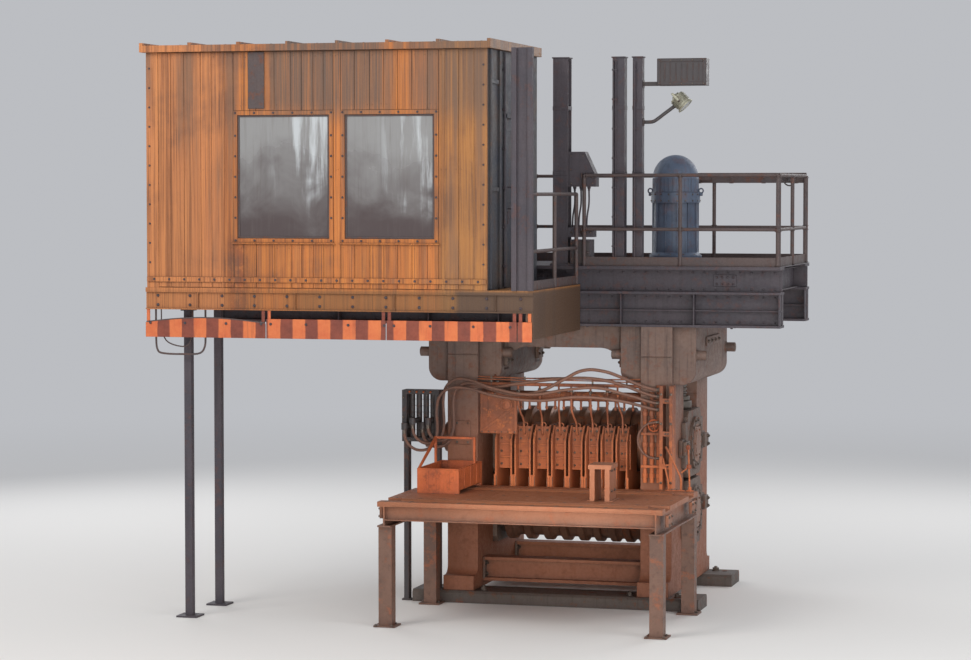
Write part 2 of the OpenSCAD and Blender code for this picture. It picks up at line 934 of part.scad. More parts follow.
module girder_outline() {
    beam_outline(flange_w, girder_low_h, flange_t, web_t);
    translate([-web_t / 2, 0]) square([web_t, girder_h]);
    translate([-flange_w / 2, girder_h - flange_t]) square([flange_w, flange_t]);
    translate([-flange_w / 4, band_z]) square([flange_w / 2, band_t]);
}

module girder(side) {
    w = flange_w / 2 - stiffener_in;
    color([0.30, 0.20, 0.18])
    translate([0, side * girder_y, crown_top]) {
        translate([(deck_left + deck_right) / 2, 0, 0]) along_x(deck_right - deck_left) girder_outline();
        for (x = stiffener_places)
            box(x - stiffener_t / 2, x + stiffener_t / 2, -w, w,
                flange_t - lap, girder_low_h - flange_t + lap);
    }
}

module girder_front() girder(-1);
module girder_back() girder(1);

module deck_beams() {
    inner = girder_y - web_t / 2;
    color([0.28, 0.21, 0.19])
    for (x = [deck_left + beam_end_in, deck_left + platform_left / 2 - beam_w, -housing_x - beam_out, 0,
        housing_x + beam_out, deck_right - beam_end_in])
        translate([x, 0, crown_top + girder_low_h])
            along_y(2 * inner) beam_outline(beam_w, beam_h, beam_flange, beam_web);
}

module deck() {
    color([0.25, 0.22, 0.20])
    difference() {
        box(deck_left, deck_right, -deck_half, deck_half, deck_z - deck_t, deck_z);
        both_x(housing_x) translate([0, 0, deck_z - deck_t - lap])
            cylinder(r = stool_r + stool_play, h = deck_t + 2 * lap);
    }
}

module rail_post(x, y, z) {
    translate([x, y, z]) cylinder(r = rail_post_r, h = rail_h);
}

module rails_x(x0, x1, y) {
    n = round((x1 - x0) / rail_bay);
    for (i = [0 : n]) rail_post(x0 + i * (x1 - x0) / n, y, deck_z);
    for (h = [mid_rail_h, rail_h]) translate([x0, y, deck_z + h]) rod_x(rail_r, x1 - x0);
    box(x0, x1, y - toe_t / 2, y + toe_t / 2, deck_z, deck_z + toe_h);
}

module rails_y(x, y0, y1, z) {
    for (y = [y0, (y0 + y1) / 2, y1]) rail_post(x, y, z);
    for (h = [mid_rail_h, rail_h])
        translate([x, y0, z + h]) rotate([-90, 0, 0]) cylinder(r = rail_r, h = y1 - y0);
    box(x - toe_t / 2, x + toe_t / 2, y0, y1, z, z + toe_h);
}

module railing_front() {
    color([0.20, 0.18, 0.17]) {
        rails_x(frame_right + rail_in, deck_right - rail_in, -deck_half + rail_in);
        rails_y(frame_right - rail_in, cab_front + screen_t + rail_in, cab_back - rail_in, floor_top);
    }
}

module railing_back() {
    y = deck_half - rail_in;
    color([0.20, 0.18, 0.17]) {
        rails_x(deck_left + rail_in, deck_right - rail_in, y);
        box(housing_x - cheek_w / 2, deck_right - rail_in, y - duct_w / 2, y + duct_w / 2, duct_z,
            duct_z + duct_h);
    }
}

module railing_right() {
    y = deck_half - 3 * rail_in;
    color([0.20, 0.18, 0.17]) rails_y(deck_right - rail_in, -y, y, deck_z);
}

// Cab

module cab_frame() {
    color([0.42, 0.30, 0.16]) {
        difference() {
            box(deck_left, frame_right, cab_front, cab_front + frame_t, frame_z, cab_z);
            box(deck_left - lap, frame_right + lap, cab_front - lap, cab_front + frame_recess,
                frame_z + frame_lip, cab_z - frame_lip);
        }
        for (i = [0 : joist_count])
            translate([deck_left + i * joist_step, 0, 0])
                box(0, frame_t, cab_front + frame_t - lap, cab_back, frame_z, cab_z);
        box(frame_right - frame_t, frame_right, cab_front + outrigger_in, cab_back, frame_z - outrigger_h,
            frame_z + lap);
    }
}

module cab_posts() {
    color([0.22, 0.20, 0.19])
    for (y = [cab_post_y1, cab_post_y2]) {
        translate([cab_post_x, y, 0]) {
            linear_extrude(height = frame_z) square(cab_post_w, center = true);
            linear_extrude(height = cab_post_foot_t) square(cab_post_foot, center = true);
            translate([0, 0, frame_z - cab_post_foot_t])
                linear_extrude(height = cab_post_foot_t) square(cab_post_cap, center = true);
        }
    }
}

module cab_floor() {
    color([0.30, 0.26, 0.22]) box(deck_left, frame_right, cab_front, cab_back, cab_z, floor_top);
}

module window_hole(w, grow, y0, y1) {
    box(w[0] - grow, w[0] + w[1] + grow, y0, y1, window_z - grow, window_z + window_h + grow);
}

module cab_wall_front() {
    y0 = cab_front + surround_t;
    color([0.80, 0.47, 0.16])
    difference() {
        union() {
            box(cab_left, cab_right, y0, cab_front + cab_wall_t, floor_top, cab_top);
            for (w = windows) window_hole(w, surround_w, cab_front, y0 + lap);
            for (x = [cab_left, cab_right - corner_w])
                box(x, x + corner_w, y0 - corner_t, y0 + lap, floor_top, cab_top);
        }
        for (w = windows) window_hole(w, 0, cab_front - lap, cab_front + cab_wall_t + lap);
    }
}

// Stiffening ribs of a wall that runs from a to b, as centre distances from a
function rib_places(a, b) =
    let (n = floor((b - a) / wall_rib_step))
    [for (i = [1 : n]) a + i * (b - a) / (n + 1)];

module cab_wall_left() {
    y0 = cab_front + cab_wall_t;
    color([0.80, 0.47, 0.16]) {
        box(cab_left, cab_left + cab_wall_t, y0, cab_back, floor_top, cab_top);
        for (y = rib_places(y0, cab_back))
            box(cab_left - wall_rib_t / 2, cab_left + lap, y - wall_rib_w / 2, y + wall_rib_w / 2, floor_top,
                cab_top);
    }
}

module cab_wall_right() {
    color([0.25, 0.27, 0.30])
    difference() {
        box(cab_right - cab_wall_t, cab_right, cab_front + cab_wall_t, cab_back, floor_top, cab_top);
        box(cab_right - cab_wall_t - lap, cab_right + lap, door_y, door_y + door_w, floor_top - lap,
            floor_top + door_h);
    }
}

module cab_wall_back() {
    color([0.80, 0.47, 0.16])
    box(cab_left + cab_wall_t, cab_right - cab_wall_t, cab_back - cab_wall_t, cab_back, floor_top, cab_top);
}

module cab_door() {
    x1 = cab_right - door_in;
    color([0.30, 0.32, 0.35]) {
        difference() {
            box(x1 - door_t, x1, door_y + seat, door_y + door_w - seat, floor_top, floor_top + door_h - seat);
            for (z = door_panels)
                box(x1 - door_panel_in, x1 + lap, door_y + door_frame, door_y + door_w - door_frame,
                    floor_top + z[0], floor_top + z[1]);
        }
        for (z = [hinge_in, door_h - hinge_in - hinge_h])
            translate([x1 - hinge_r / 2, door_y + door_w - 2 * hinge_r, floor_top + z])
                cylinder(r = hinge_r, h = hinge_h);
    }
}

module cab_roof() {
    w = cab_w + 2 * roof_over;
    ribs = floor(w / roof_rib_step);
    color([0.45, 0.30, 0.16]) {
        box(cab_left - roof_over, cab_right + roof_over, cab_front - roof_over, cab_back, cab_top,
            cab_top + roof_t - roof_rib_h);
        for (i = [0 : ribs])
            translate([cab_left - roof_over + i * (w - roof_rib_w) / ribs, 0, 0])
                box(0, roof_rib_w, cab_front - roof_over, cab_back, cab_top + roof_t - roof_rib_h - lap,
                    cab_top + roof_t);
    }
}

module cab_glass() {
    color([0.5, 0.6, 0.65, 0.4])
    for (w = windows) window_hole(w, -seat, cab_front + glass_in, cab_front + glass_in + glass_t);
}

module heat_screen() {
    color([0.40, 0.28, 0.18]) {
        box(frame_right - screen_w, frame_right, cab_front, cab_front + screen_t, floor_top, cab_top);
        for (x = [frame_right - screen_w, frame_right - wall_rib_w])
            box(x, x + wall_rib_w, cab_front - wall_rib_t, cab_front + lap, floor_top, cab_top);
    }
}

// Guard plate between two joints: the first one is bowed upwards by heat
module skirt_outline(w, bow) {
    edge = [for (i = [0 : skirt_steps])
        [w * i / skirt_steps, skirt_top - bow + bow * sin(180 * i / skirt_steps)]];
    polygon(concat([[w, skirt_bottom], [0, skirt_bottom]], edge));
}

module striped_skirt() {
    color([0.85, 0.33, 0.16])
    for (i = [0 : len(skirt_joints) - 2]) {
        x0 = skirt_joints[i];
        w = skirt_joints[i + 1] - skirt_slit - x0;
        translate([x0, cab_front + skirt_t / 2, 0]) along_y(skirt_t) skirt_outline(w, i == 0 ? skirt_bow : 0);
        for (x = [x0 + skirt_bar_in, x0 + w - skirt_bar - skirt_bar_in])
            box(x, x + skirt_bar, cab_front + skirt_t, cab_front + 2 * skirt_t,
                skirt_top - skirt_lap, frame_z);
    }
}

// Service columns, lamp and cabinet on the platform

module column_foot(x, w) {
    side = w + 2 * column_foot_over;
    translate([x - side / 2, column_y - side / 2, deck_z]) cube([side, side, column_foot_t]);
}

module service_columns() {
    h = column_top - deck_z;
    color([0.25, 0.20, 0.19])
    for (i = [0 : len(columns) - 1]) {
        x = frame_right + columns[i][0];
        w = columns[i][1];
        translate([x, column_y, deck_z]) linear_extrude(height = h)
            if (i == 0) translate([0, -w / 2]) beam_outline(w, w, column_flange, column_web);
            else square(w, center = true);
        column_foot(x, w);
    }
}

module floodlight() {
    c = columns[2];
    x0 = frame_right + c[0] + c[1] / 2;
    elbow = [x0 + lamp_arm_l, column_y, lamp_z];
    tip = [x0 + lamp_out, column_y, lamp_z + lamp_rise];
    color([0.75, 0.75, 0.70]) {
        translate([x0, column_y, lamp_z]) rod_x(lamp_arm_r, lamp_arm_l);
        translate(elbow) sphere(r = lamp_arm_r);
        rod(elbow, tip, lamp_arm_r);
        translate(tip) rotate([0, 135, 0]) {
            cylinder(r = lamp_head_r, h = lamp_head_l, center = true);
            translate([0, 0, lamp_head_l / 2 - lamp_rim_t]) cylinder(r = lamp_rim_r, h = lamp_rim_t);
        }
    }
    color([0.16, 0.16, 0.18]) {
        box(x0, x0 + gear_case_x + lap, column_y - gear_bar / 2, column_y + gear_bar / 2, gear_case_z,
            gear_case_z + gear_bar);
        translate([x0 + gear_case_x, column_y - gear_case_d / 2, gear_case_z])
            cube([gear_case_w, gear_case_d, gear_case_h]);
    }
}

module service_cabinet() {
    x0 = frame_right + columns[0][0] + columns[0][1] / 2;
    color([0.38, 0.38, 0.30]) translate([x0, column_y - cabinet_d / 2, deck_z]) {
        translate([column_foot_over + seat, 0, 0]) cube([cabinet_w, cabinet_d, cabinet_h]);
    }
    color([0.30, 0.20, 0.18]) {
        box(x0, x0 + bracket_w, column_y - box_d / 2, column_y + box_d / 2, bracket_z, bracket_z + bracket_h);
        translate([x0, column_y, box_z]) along_y(box_d)
            polygon([[0, 0], [box_w, 0], [box_w, box_h * 0.3], [box_w * 0.6, box_h], [0, box_h]]);
    }
}

// Apron

module apron_side(s) {
    x = apron_x + s * (apron_half - apron_beam_w / 2);
    translate([x, (apron_front + apron_back) / 2, apron_low]) along_y(apron_l)
        beam_outline(apron_beam_w, apron_beam_h, apron_beam_flange, apron_beam_web);
    for (y = [apron_front + apron_foot / 2, sole_front - seat - apron_foot / 2]) translate([x, y, 0]) {
        linear_extrude(height = apron_low + lap) square(apron_leg, center = true);
        linear_extrude(height = apron_foot_t) square(apron_foot, center = true);
    }
}

// Bearing block of a table roller, bolted to the web of the side beam
module roller_bearing(s, y) {
    face = apron_half - apron_beam_w / 2 - apron_beam_web / 2;
    translate([apron_x + s * (face - bearing_l / 2), y, roller_z])
    difference() {
        translate([-bearing_l / 2 - lap / 2, -bearing_w / 2, -bearing_h / 2])
            cube([bearing_l + lap, bearing_w, bearing_h - bearing_cut]);
        rotate([0, 90, 0]) cylinder(r = journal_r + play, h = bearing_l + 4 * lap, center = true);
    }
}

module apron_frame() {
    inner = apron_half - apron_beam_w / 2;
    color([0.28, 0.22, 0.19]) {
        for (s = [-1, 1]) {
            apron_side(s);
            for (y = [roller_y1, roller_y2]) roller_bearing(s, y);
        }
        for (y = [apron_front + cross_beam_w / 2, (roller_y1 + roller_y2) / 2, apron_back - cross_beam_w / 2])
            translate([apron_x, y, apron_top - apron_plate_t - cross_beam_h])
                along_x(2 * inner) beam_outline(cross_beam_w, cross_beam_h, beam_flange, beam_flange);
    }
}

module apron_plates() {
    edges = [apron_back, roller_y1 + roller_slot / 2, roller_y1 - roller_slot / 2, roller_y2 + roller_slot / 2,
        roller_y2 - roller_slot / 2, apron_front];
    color([0.35, 0.29, 0.26])
    for (i = [0 : 2 : 4])
        box(apron_x - apron_half, apron_x + apron_half, edges[i + 1], edges[i],
            apron_top - apron_plate_t, apron_top);
}

module table_roller(y) {
    reach = apron_half - apron_beam_w / 2 - apron_beam_web / 2 - journal_out;
    color([0.5, 0.48, 0.46])
    translate([apron_x, y, roller_z]) rotate([0, 90, 0]) {
        cylinder(r = table_roller_d / 2, h = 2 * (reach + journal_out - bearing_l - roller_end),
            center = true);
        cylinder(r = journal_r, h = 2 * reach, center = true);
    }
}

module table_roller_near() table_roller(roller_y1);
module table_roller_far() table_roller(roller_y2);

module guide_portal() {
    out = portal_inner / 2 + portal_bar;
    color([0.30, 0.15, 0.10])
    translate([portal_x, portal_y, apron_top]) {
        both_x(portal_inner / 2 + portal_bar / 2)
            translate([-portal_bar / 2, -portal_d, 0]) cube([portal_bar, portal_d, portal_h]);
        translate([-out - portal_over, -portal_d, portal_h - lap])
            cube([2 * (out + portal_over), portal_d, portal_lintel + lap]);
    }
}

// Bail rods of the tray: two uprights, a slanted one and the bar across their tops
module scale_tray() {
    rim = tray_z + tray_h;
    bail_y = tray_back - bail_in;
    color([0.75, 0.32, 0.14]) {
        difference() {
            box(tray_x0, tray_x1, tray_front, tray_back, tray_z, rim);
            box(tray_x0 + tray_t, tray_x1 - tray_t, tray_front + tray_t, tray_back - tray_t, tray_z + tray_t,
                rim + lap);
        }
        for (y = [tray_back - tray_foot, tray_front])
            box(tray_x0, tray_x1, y, y + tray_foot, apron_top, tray_z + lap);
        for (x = [tray_x0 + bail_r, tray_x1 - bail_r])
            box(x - bail_r, x + bail_r, bail_y - bail_r, bail_y + bail_r, rim - lap, rim + bail_h);
        box(tray_x0, tray_x1, bail_y - bail_r, bail_y + bail_r, rim + bail_h - 2 * bail_r, rim + bail_h);
        translate([tray_x0 + bail_r, 0, 0]) along_x(2 * bail_r)
            polygon([[bail_y, rim + bail_h], [bail_y, rim + bail_h - 3 * bail_r],
                [tray_front + 3 * bail_r, rim - lap], [tray_front, rim - lap]]);
    }
}

// Place of a valve along x, the first one farthest from the housing, and height of its port over the pass line
function valve_x(i) = valve_x0 + valve_leg + (i + 0.5) * valve_step;
function port_z(i) = i % 2 == 1 ? port_high : port_low;

module valve_block() {
    color([0.18, 0.17, 0.18]) {
        for (z = [valve_z, valve_z + valve_h - valve_plate])
            translate([valve_x0, valve_y, z]) cube([valve_w, valve_d, valve_plate]);
        for (x = [valve_x0, valve_x1 - valve_leg])
            translate([x, valve_y, valve_z]) cube([valve_leg, valve_d, valve_h]);
        for (leg = [[0, 0], [valve_leg_in, sole_h]])
            translate([valve_x0 + valve_leg / 2 + leg[0], valve_y + valve_d - valve_leg_d / 2, leg[1]]) {
                linear_extrude(height = valve_z + lap - leg[1])
                    square([valve_leg, valve_leg_d], center = true);
                linear_extrude(height = valve_foot_t) square([valve_foot, valve_leg_d], center = true);
            }
        for (i = [0 : valve_count - 1]) translate([valve_x(i), valve_y + valve_d / 2, 0]) {
            translate([0, 0, valve_z]) cylinder(r = valve_r, h = valve_h);
            reach = valve_y + valve_d / 2 - front_y - hose_bends[i][0];
            translate([0, 0, pass_z + port_z(i)]) {
                rotate([90, 0, 0]) cylinder(r = port_r, h = reach);
                translate([0, -reach, -elbow_down]) cylinder(r = elbow_r, h = elbow_down + elbow_up);
            }
        }
    }
}

module pipe_stand() {
    y1 = front_y - seat;
    color([0.45, 0.22, 0.14]) {
        for (x = [pipe_x0, pipe_x1])
            box(x, x + pipe_plate_t, y1 - pipe_plate_d, y1, apron_top, pipe_top);
        for (z = pipe_bars)
            box(pipe_x0 + lap, pipe_x1 + lap, y1 - pipe_plate_d, y1 - pipe_plate_d + pipe_plate_t, pass_z + z,
                pass_z + z + pipe_bar);
        for (i = [0 : pipe_count - 1])
            translate([pipe_x0 - (i + 0.5) * pipe_pitch, y1 - pipe_r, pipe_foot_z])
                cylinder(r = pipe_r, h = pipe_top - pipe_foot_z - i * pipe_pitch);
        for (z = pipe_bars)
            box(pipe_x0 - pipe_count * pipe_pitch, pipe_x0 + lap, y1 - 2 * pipe_r - pipe_clip, y1 - pipe_r,
                pass_z + z, pass_z + z + pipe_bar / 2);
    }
}

// Tube along a route of points

function unit(v) = v / norm(v);
function ring(p, d, r) =
    let (a = unit(cross(d, [0, 0.2, 1])), b = cross(unit(d), a))
    [for (k = [0 : hose_sides - 1]) p + r * (a * cos(360 * k / hose_sides) + b * sin(360 * k / hose_sides))];
function heading(path, i) = path[min(i + 1, len(path) - 1)] - path[max(i - 1, 0)];

module tube(path, r) {
    n = len(path);
    points = [for (i = [0 : n - 1]) each ring(path[i], heading(path, i), r)];
    sides = [for (i = [0 : n - 2], k = [0 : hose_sides - 1])
        let (a = i * hose_sides + k, b = i * hose_sides + (k + 1) % hose_sides)
        each [[a, b + hose_sides, b], [a, a + hose_sides, b + hose_sides]]];
    first = [for (k = [0 : hose_sides - 1]) k];
    last = [for (k = [hose_sides - 1 : -1 : 0]) (n - 1) * hose_sides + k];
    polyhedron(points = points, faces = concat(sides, [first], [last]));
}

// Place over the pass line, off the housings' front face
function off_face(x, y, z) = [x, front_y + y, pass_z + z];
function placed(route) = [for (p = route) off_face(p[0] * housing_x, p[1], p[2])];

// Points of a round bend in the XZ plane about its middle, from angle a0 to a1
bend_step = 30;
function bend(c, r, a0, a1) =
    let (n = abs(a1 - a0) / bend_step)
    [for (k = [0 : n]) let (a = a0 + (a1 - a0) * k / n) c + [r * cos(a), 0, r * sin(a)]];

// Route from the elbow of a valve, down and up in two bends, and on to the pipe stand's side
module hose(i, route, y1, z1, r) {
    b = hose_bends[i];
    x = valve_x(i);
    tube(concat([off_face(x, b[0], port_z(i) - elbow_down)],
        bend(off_face(x + b[1], b[0], b[2]), b[1], 180, 360),
        bend(off_face(x + 2 * b[1] + b[3], b[0], b[4]), b[3], 180, 90),
        placed(route),
        [off_face(pipe_x0 - hose_lead, y1, z1), off_face(pipe_x0, y1, z1)]), r);
}

module hoses() {
    color([0.35, 0.24, 0.20]) {
        hose(3, hose_low, -140, 1180, hose_r);
        hose(2, hose_high, -130, 1100, hose_r);
        hose(1, hose_fine, -150, 1020, hose_thin_r);
        hose(0, hose_last, -150, 940, hose_thin_r);
        tube(concat([off_face(pipe_x0, loop_y, loop_z)],
            bend(off_face(pipe_x0 - hose_lead, loop_y, loop_z - loop_bend), loop_bend, 90, 270),
            [off_face(pipe_x0, loop_y, loop_z - 2 * loop_bend)]), loop_r);
    }
}

sole_plate_front();
sole_plate_back();
housing_left();
housing_right();
bottom_ties();
top_ties();
bottom_chock_left();
bottom_chock_right();
top_chock_left();
top_chock_right();
bottom_roll();
top_roll();
screws();
screw_gearbox_left();
screw_gearbox_right();
screw_motor_left();
screw_motor_right();
cross_shaft();
rest_bar_front();
rest_bar_back();
delivery_guides();
entry_guides();
girder_front();
girder_back();
deck_beams();
deck();
railing_front();
railing_back();
railing_right();
cab_frame();
cab_posts();
cab_floor();
cab_wall_front();
cab_wall_left();
cab_wall_right();
cab_wall_back();
cab_roof();
cab_glass();
cab_door();
heat_screen();
striped_skirt();
service_columns();
floodlight();
service_cabinet();
apron_frame();
apron_plates();
table_roller_near();
table_roller_far();
guide_portal();
scale_tray();
valve_block();
pipe_stand();
water_header();
splash_guard();
hoses();
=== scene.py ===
"""Looks of the two-high rolling mill stand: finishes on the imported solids, and the small pieces on them."""
import json
import math
import random
from itertools import product

import bmesh
import bpy
from mathutils import Matrix, Vector


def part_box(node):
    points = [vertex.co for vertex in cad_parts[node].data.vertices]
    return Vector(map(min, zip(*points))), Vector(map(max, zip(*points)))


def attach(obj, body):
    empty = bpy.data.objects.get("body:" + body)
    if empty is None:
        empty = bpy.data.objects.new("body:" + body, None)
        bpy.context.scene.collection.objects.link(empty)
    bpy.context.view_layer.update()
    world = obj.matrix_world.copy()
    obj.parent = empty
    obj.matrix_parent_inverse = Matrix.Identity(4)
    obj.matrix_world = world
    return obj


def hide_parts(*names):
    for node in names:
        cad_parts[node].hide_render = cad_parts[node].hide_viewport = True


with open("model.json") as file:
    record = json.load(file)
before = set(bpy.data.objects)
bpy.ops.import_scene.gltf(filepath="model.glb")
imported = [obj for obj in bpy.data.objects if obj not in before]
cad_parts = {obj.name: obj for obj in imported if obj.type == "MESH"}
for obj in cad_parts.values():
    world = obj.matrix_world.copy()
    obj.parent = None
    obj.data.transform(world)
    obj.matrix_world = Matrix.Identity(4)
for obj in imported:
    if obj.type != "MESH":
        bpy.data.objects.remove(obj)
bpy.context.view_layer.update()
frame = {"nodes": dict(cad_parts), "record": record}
nodes = frame["nodes"]
box = {name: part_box(name) for name in nodes}
rng = random.Random(11)


def centre_of(node):
    low, high = box[node]
    return (low + high) / 2


# Places read from the solids, in metres
HOUSING_X = -centre_of("screw_motor_left").x
DECK_Z = box["deck"][1].z
CROWN_Z = box["girder_front"][0].z
CAB_LEFT, CAB_FRONT, FLOOR_Z = box["cab_wall_front"][0]
CAB_RIGHT, _, TOP_Z = box["cab_wall_front"][1]
APRON_TOP = box["apron_plates"][1].z

UP, DOWN = (0, 0, 1), (0, 0, -1)
RIGHT, LEFT = (1, 0, 0), (-1, 0, 0)
BACK, FRONT = (0, 1, 0), (0, -1, 0)
BOTH = (-1, 1)


# Camera

EYE = Vector((8.1586, -34.4154, 5.1230))
AIM = Vector((-0.95, -1.1, 3.38))
IMAGE_W = 971
LENS_PX = 2780
SENSOR = 36.0


def place(name, data, at=(0, 0, 0), aim=None):
    """New object in the scene; cameras and lights look at their aim."""
    thing = bpy.data.objects.new(name, data)
    thing.location = at
    if aim is not None:
        thing.rotation_euler = (Vector(aim) - Vector(at)).to_track_quat("-Z", "Y").to_euler()
    bpy.context.scene.collection.objects.link(thing)
    return thing


def make_camera():
    camera = place("camera", bpy.data.cameras.new("camera"), EYE, AIM)
    camera.data.sensor_width = SENSOR
    camera.data.lens = LENS_PX / IMAGE_W * SENSOR
    camera.data.clip_end = 1000
    bpy.context.scene.camera = camera


# Materials: colours are written as the 0 to 255 values that they look like

def linear(r, g, b):
    def channel(c):
        c /= 255
        return c / 12.92 if c <= 0.04045 else ((c + 0.055) / 1.055) ** 2.4
    return (channel(r), channel(g), channel(b), 1)


class Nodes:
    """Short calls for building a material's node tree."""

    def __init__(self, name):
        self.material = bpy.data.materials.new(name)
        self.material.use_nodes = True
        self.tree = self.material.node_tree
        self.shader = self.tree.nodes["Principled BSDF"]
        self.place = self.add("ShaderNodeTexCoord").outputs["Object"]

    def add(self, kind, **settings):
        node = self.tree.nodes.new(kind)
        for key, value in settings.items():
            setattr(node, key, value)
        return node

    def link(self, source, socket):
        self.tree.links.new(source, socket)

    def put(self, socket, value):
        """Sets a socket to a number or colour, or links it to an output."""
        if isinstance(value, bpy.types.NodeSocket):
            self.link(value, socket)
        else:
            socket.default_value = linear(*value) if isinstance(value, tuple) else value

    def math(self, operation, *values):
        node = self.add("ShaderNodeMath", operation=operation)
        for socket, value in zip(node.inputs, values):
            self.put(socket, value)
        return node.outputs[0]

    def plus(self, a, b):
        return self.math("ADD", a, b)

    def times(self, *values):
        total = values[0]
        for value in values[1:]:
            total = self.math("MULTIPLY", total, value)
        return total

    def axes(self):
        node = self.add("ShaderNodeSeparateXYZ")
        self.link(self.place, node.inputs[0])
        return node.outputs

    def noise(self, scale, detail=4.0, roughness=0.6, at=None, distortion=0.0):
        node = self.add("ShaderNodeTexNoise")
        for name, value in (("Scale", scale), ("Detail", detail), ("Roughness", roughness),
                            ("Distortion", distortion)):
            node.inputs[name].default_value = value
        self.link(at or self.place, node.inputs["Vector"])
        return node.outputs["Fac"]

    def runs(self, stretch, detail=6, roughness=0.65):
        """Noise stretched along an axis."""
        node = self.add("ShaderNodeMapping")
        node.inputs["Scale"].default_value = stretch
        self.link(self.place, node.inputs["Vector"])
        return self.noise(1.0, detail, roughness, at=node.outputs[0])

    def ramp(self, value, low, high, out_low=0.0, out_high=1.0):
        node = self.add("ShaderNodeMapRange", interpolation_type="SMOOTHSTEP")
        self.link(value, node.inputs["Value"])
        for name, number in zip(("From Min", "From Max", "To Min", "To Max"), (low, high, out_low, out_high)):
            node.inputs[name].default_value = number
        return node.outputs[0]

    def mix(self, share, a, b, blend="MIX"):
        node = self.add("ShaderNodeMix", data_type="RGBA", blend_type=blend)
        for socket, value in (("Factor", share), (6, a), (7, b)):
            self.put(node.inputs[socket], value)
        return node.outputs[2]

    def coats(self, colour, *coats):
        """Lays further colours over the first, each with its share."""
        for share, coat in coats:
            colour = self.mix(share, colour, coat)
        return colour

    def toned(self, colour, gain, base):
        """The colour made lighter or darker by the tone of the piece's points."""
        tone = self.add("ShaderNodeAttribute", attribute_name="tone").outputs["Fac"]
        shade = self.math("MULTIPLY_ADD", tone, gain, base)
        grey = self.add("ShaderNodeCombineColor")
        for socket in grey.inputs:
            self.link(shade, socket)
        return self.mix(1.0, colour, grey.outputs[0], "MULTIPLY")

    def edges(self, radius):
        """1 on outer and inner edges within the radius, and the rounded normal there."""
        bevel = self.add("ShaderNodeBevel", samples=4)
        bevel.inputs["Radius"].default_value = radius
        dot = self.add("ShaderNodeVectorMath", operation="DOT_PRODUCT")
        self.link(bevel.outputs[0], dot.inputs[0])
        self.link(self.add("ShaderNodeNewGeometry").outputs["Normal"], dot.inputs[1])
        return self.ramp(dot.outputs["Value"], 0.995, 0.86), bevel.outputs[0]

    # Painted shade: near 1 where the ambient occlusion finds nearby surfaces within the reach, to darken
    # corners and crevices
    def crevice_shade(self, reach):
        node = self.add("ShaderNodeAmbientOcclusion", samples=4)
        node.inputs["Distance"].default_value = reach
        return self.ramp(node.outputs["AO"], 0.25, 0.85, 1.0, 0.0)

    def finish(self, colour, roughness, height, depth, normal=None, metallic=0.0):
        for name, value in (("Base Color", colour), ("Roughness", roughness), ("Metallic", metallic)):
            self.put(self.shader.inputs[name], value)
        bump = self.add("ShaderNodeBump")
        bump.inputs["Distance"].default_value = depth
        bump.inputs["Strength"].default_value = 1.0
        self.link(height, bump.inputs["Height"])
        if normal is not None:
            self.link(normal, bump.inputs["Normal"])
        self.link(bump.outputs[0], self.shader.inputs["Normal"])
        return self.material


RUST = (118, 66, 40)
# Dark colour for dirt, and the default colour of the painted shade in crevices
GRIME_AND_SHADE = (58, 46, 42)


def weathered(name, paint, faded, rust=RUST, dirt_and_shade=GRIME_AND_SHADE, streak=0.5, worn=0.5, rusty=0.5, rough=(0.45, 0.85),
              depth=0.003, edge=0.006, grain=45.0, metallic=0.0, tone=0.0, painted_bar_light=None, flow=(19, 19, 0.7)):
    """Painted or bare mill steel: patchy colour, vertical runs, rusty edges, dirt, painted shade in the
    corners, and painted light of the hot bar where given.
    """
    n = Nodes(name)
    patches = n.noise(1.1, 6, 0.62, distortion=0.4)
    spots = n.noise(9, 7, 0.7)
    fine = n.noise(grain, 5, 0.65)
    edge_mask, rounded = n.edges(edge)
    colour = n.mix(n.ramp(patches, 0.38, 0.66), paint, faded)
    if tone:
        colour = n.toned(colour, 2 * tone, 1 - tone)
    colour = n.mix(n.times(n.ramp(n.runs(flow), 0.5, 0.72), streak), colour, dirt_and_shade)
    # Painted light of the hot bar: a warm coat, full at the first height and beyond it, fading out towards
    # the second
    if painted_bar_light:
        bar_light_colour, low, high, share = painted_bar_light
        reach = n.ramp(n.axes()[2], low, high)
        colour = n.mix(n.times(n.math("SUBTRACT", 1.0, reach), share), colour, bar_light_colour)
    wear = n.times(edge_mask, n.ramp(spots, 0.36, 0.6), worn)
    blots = n.times(n.ramp(n.plus(spots, n.times(patches, 0.5)), 0.78, 0.92), rusty)
    # Coats: rust on worn edges and blots, painted shade in the crevices, fine dirt
    colour = n.coats(colour, (n.math("MAXIMUM", wear, blots), rust), (n.times(n.crevice_shade(0.12), 0.62), dirt_and_shade),
                     (n.ramp(fine, 0.3, 0.8, 0.0, 0.16), dirt_and_shade))
    roughness = n.ramp(n.plus(n.times(fine, 0.5), n.times(spots, 0.5)), 0.3, 0.7, *rough)
    height = n.plus(n.times(spots, 0.6), n.times(fine, 0.25))
    return n.finish(colour, roughness, height, depth, rounded, metallic)
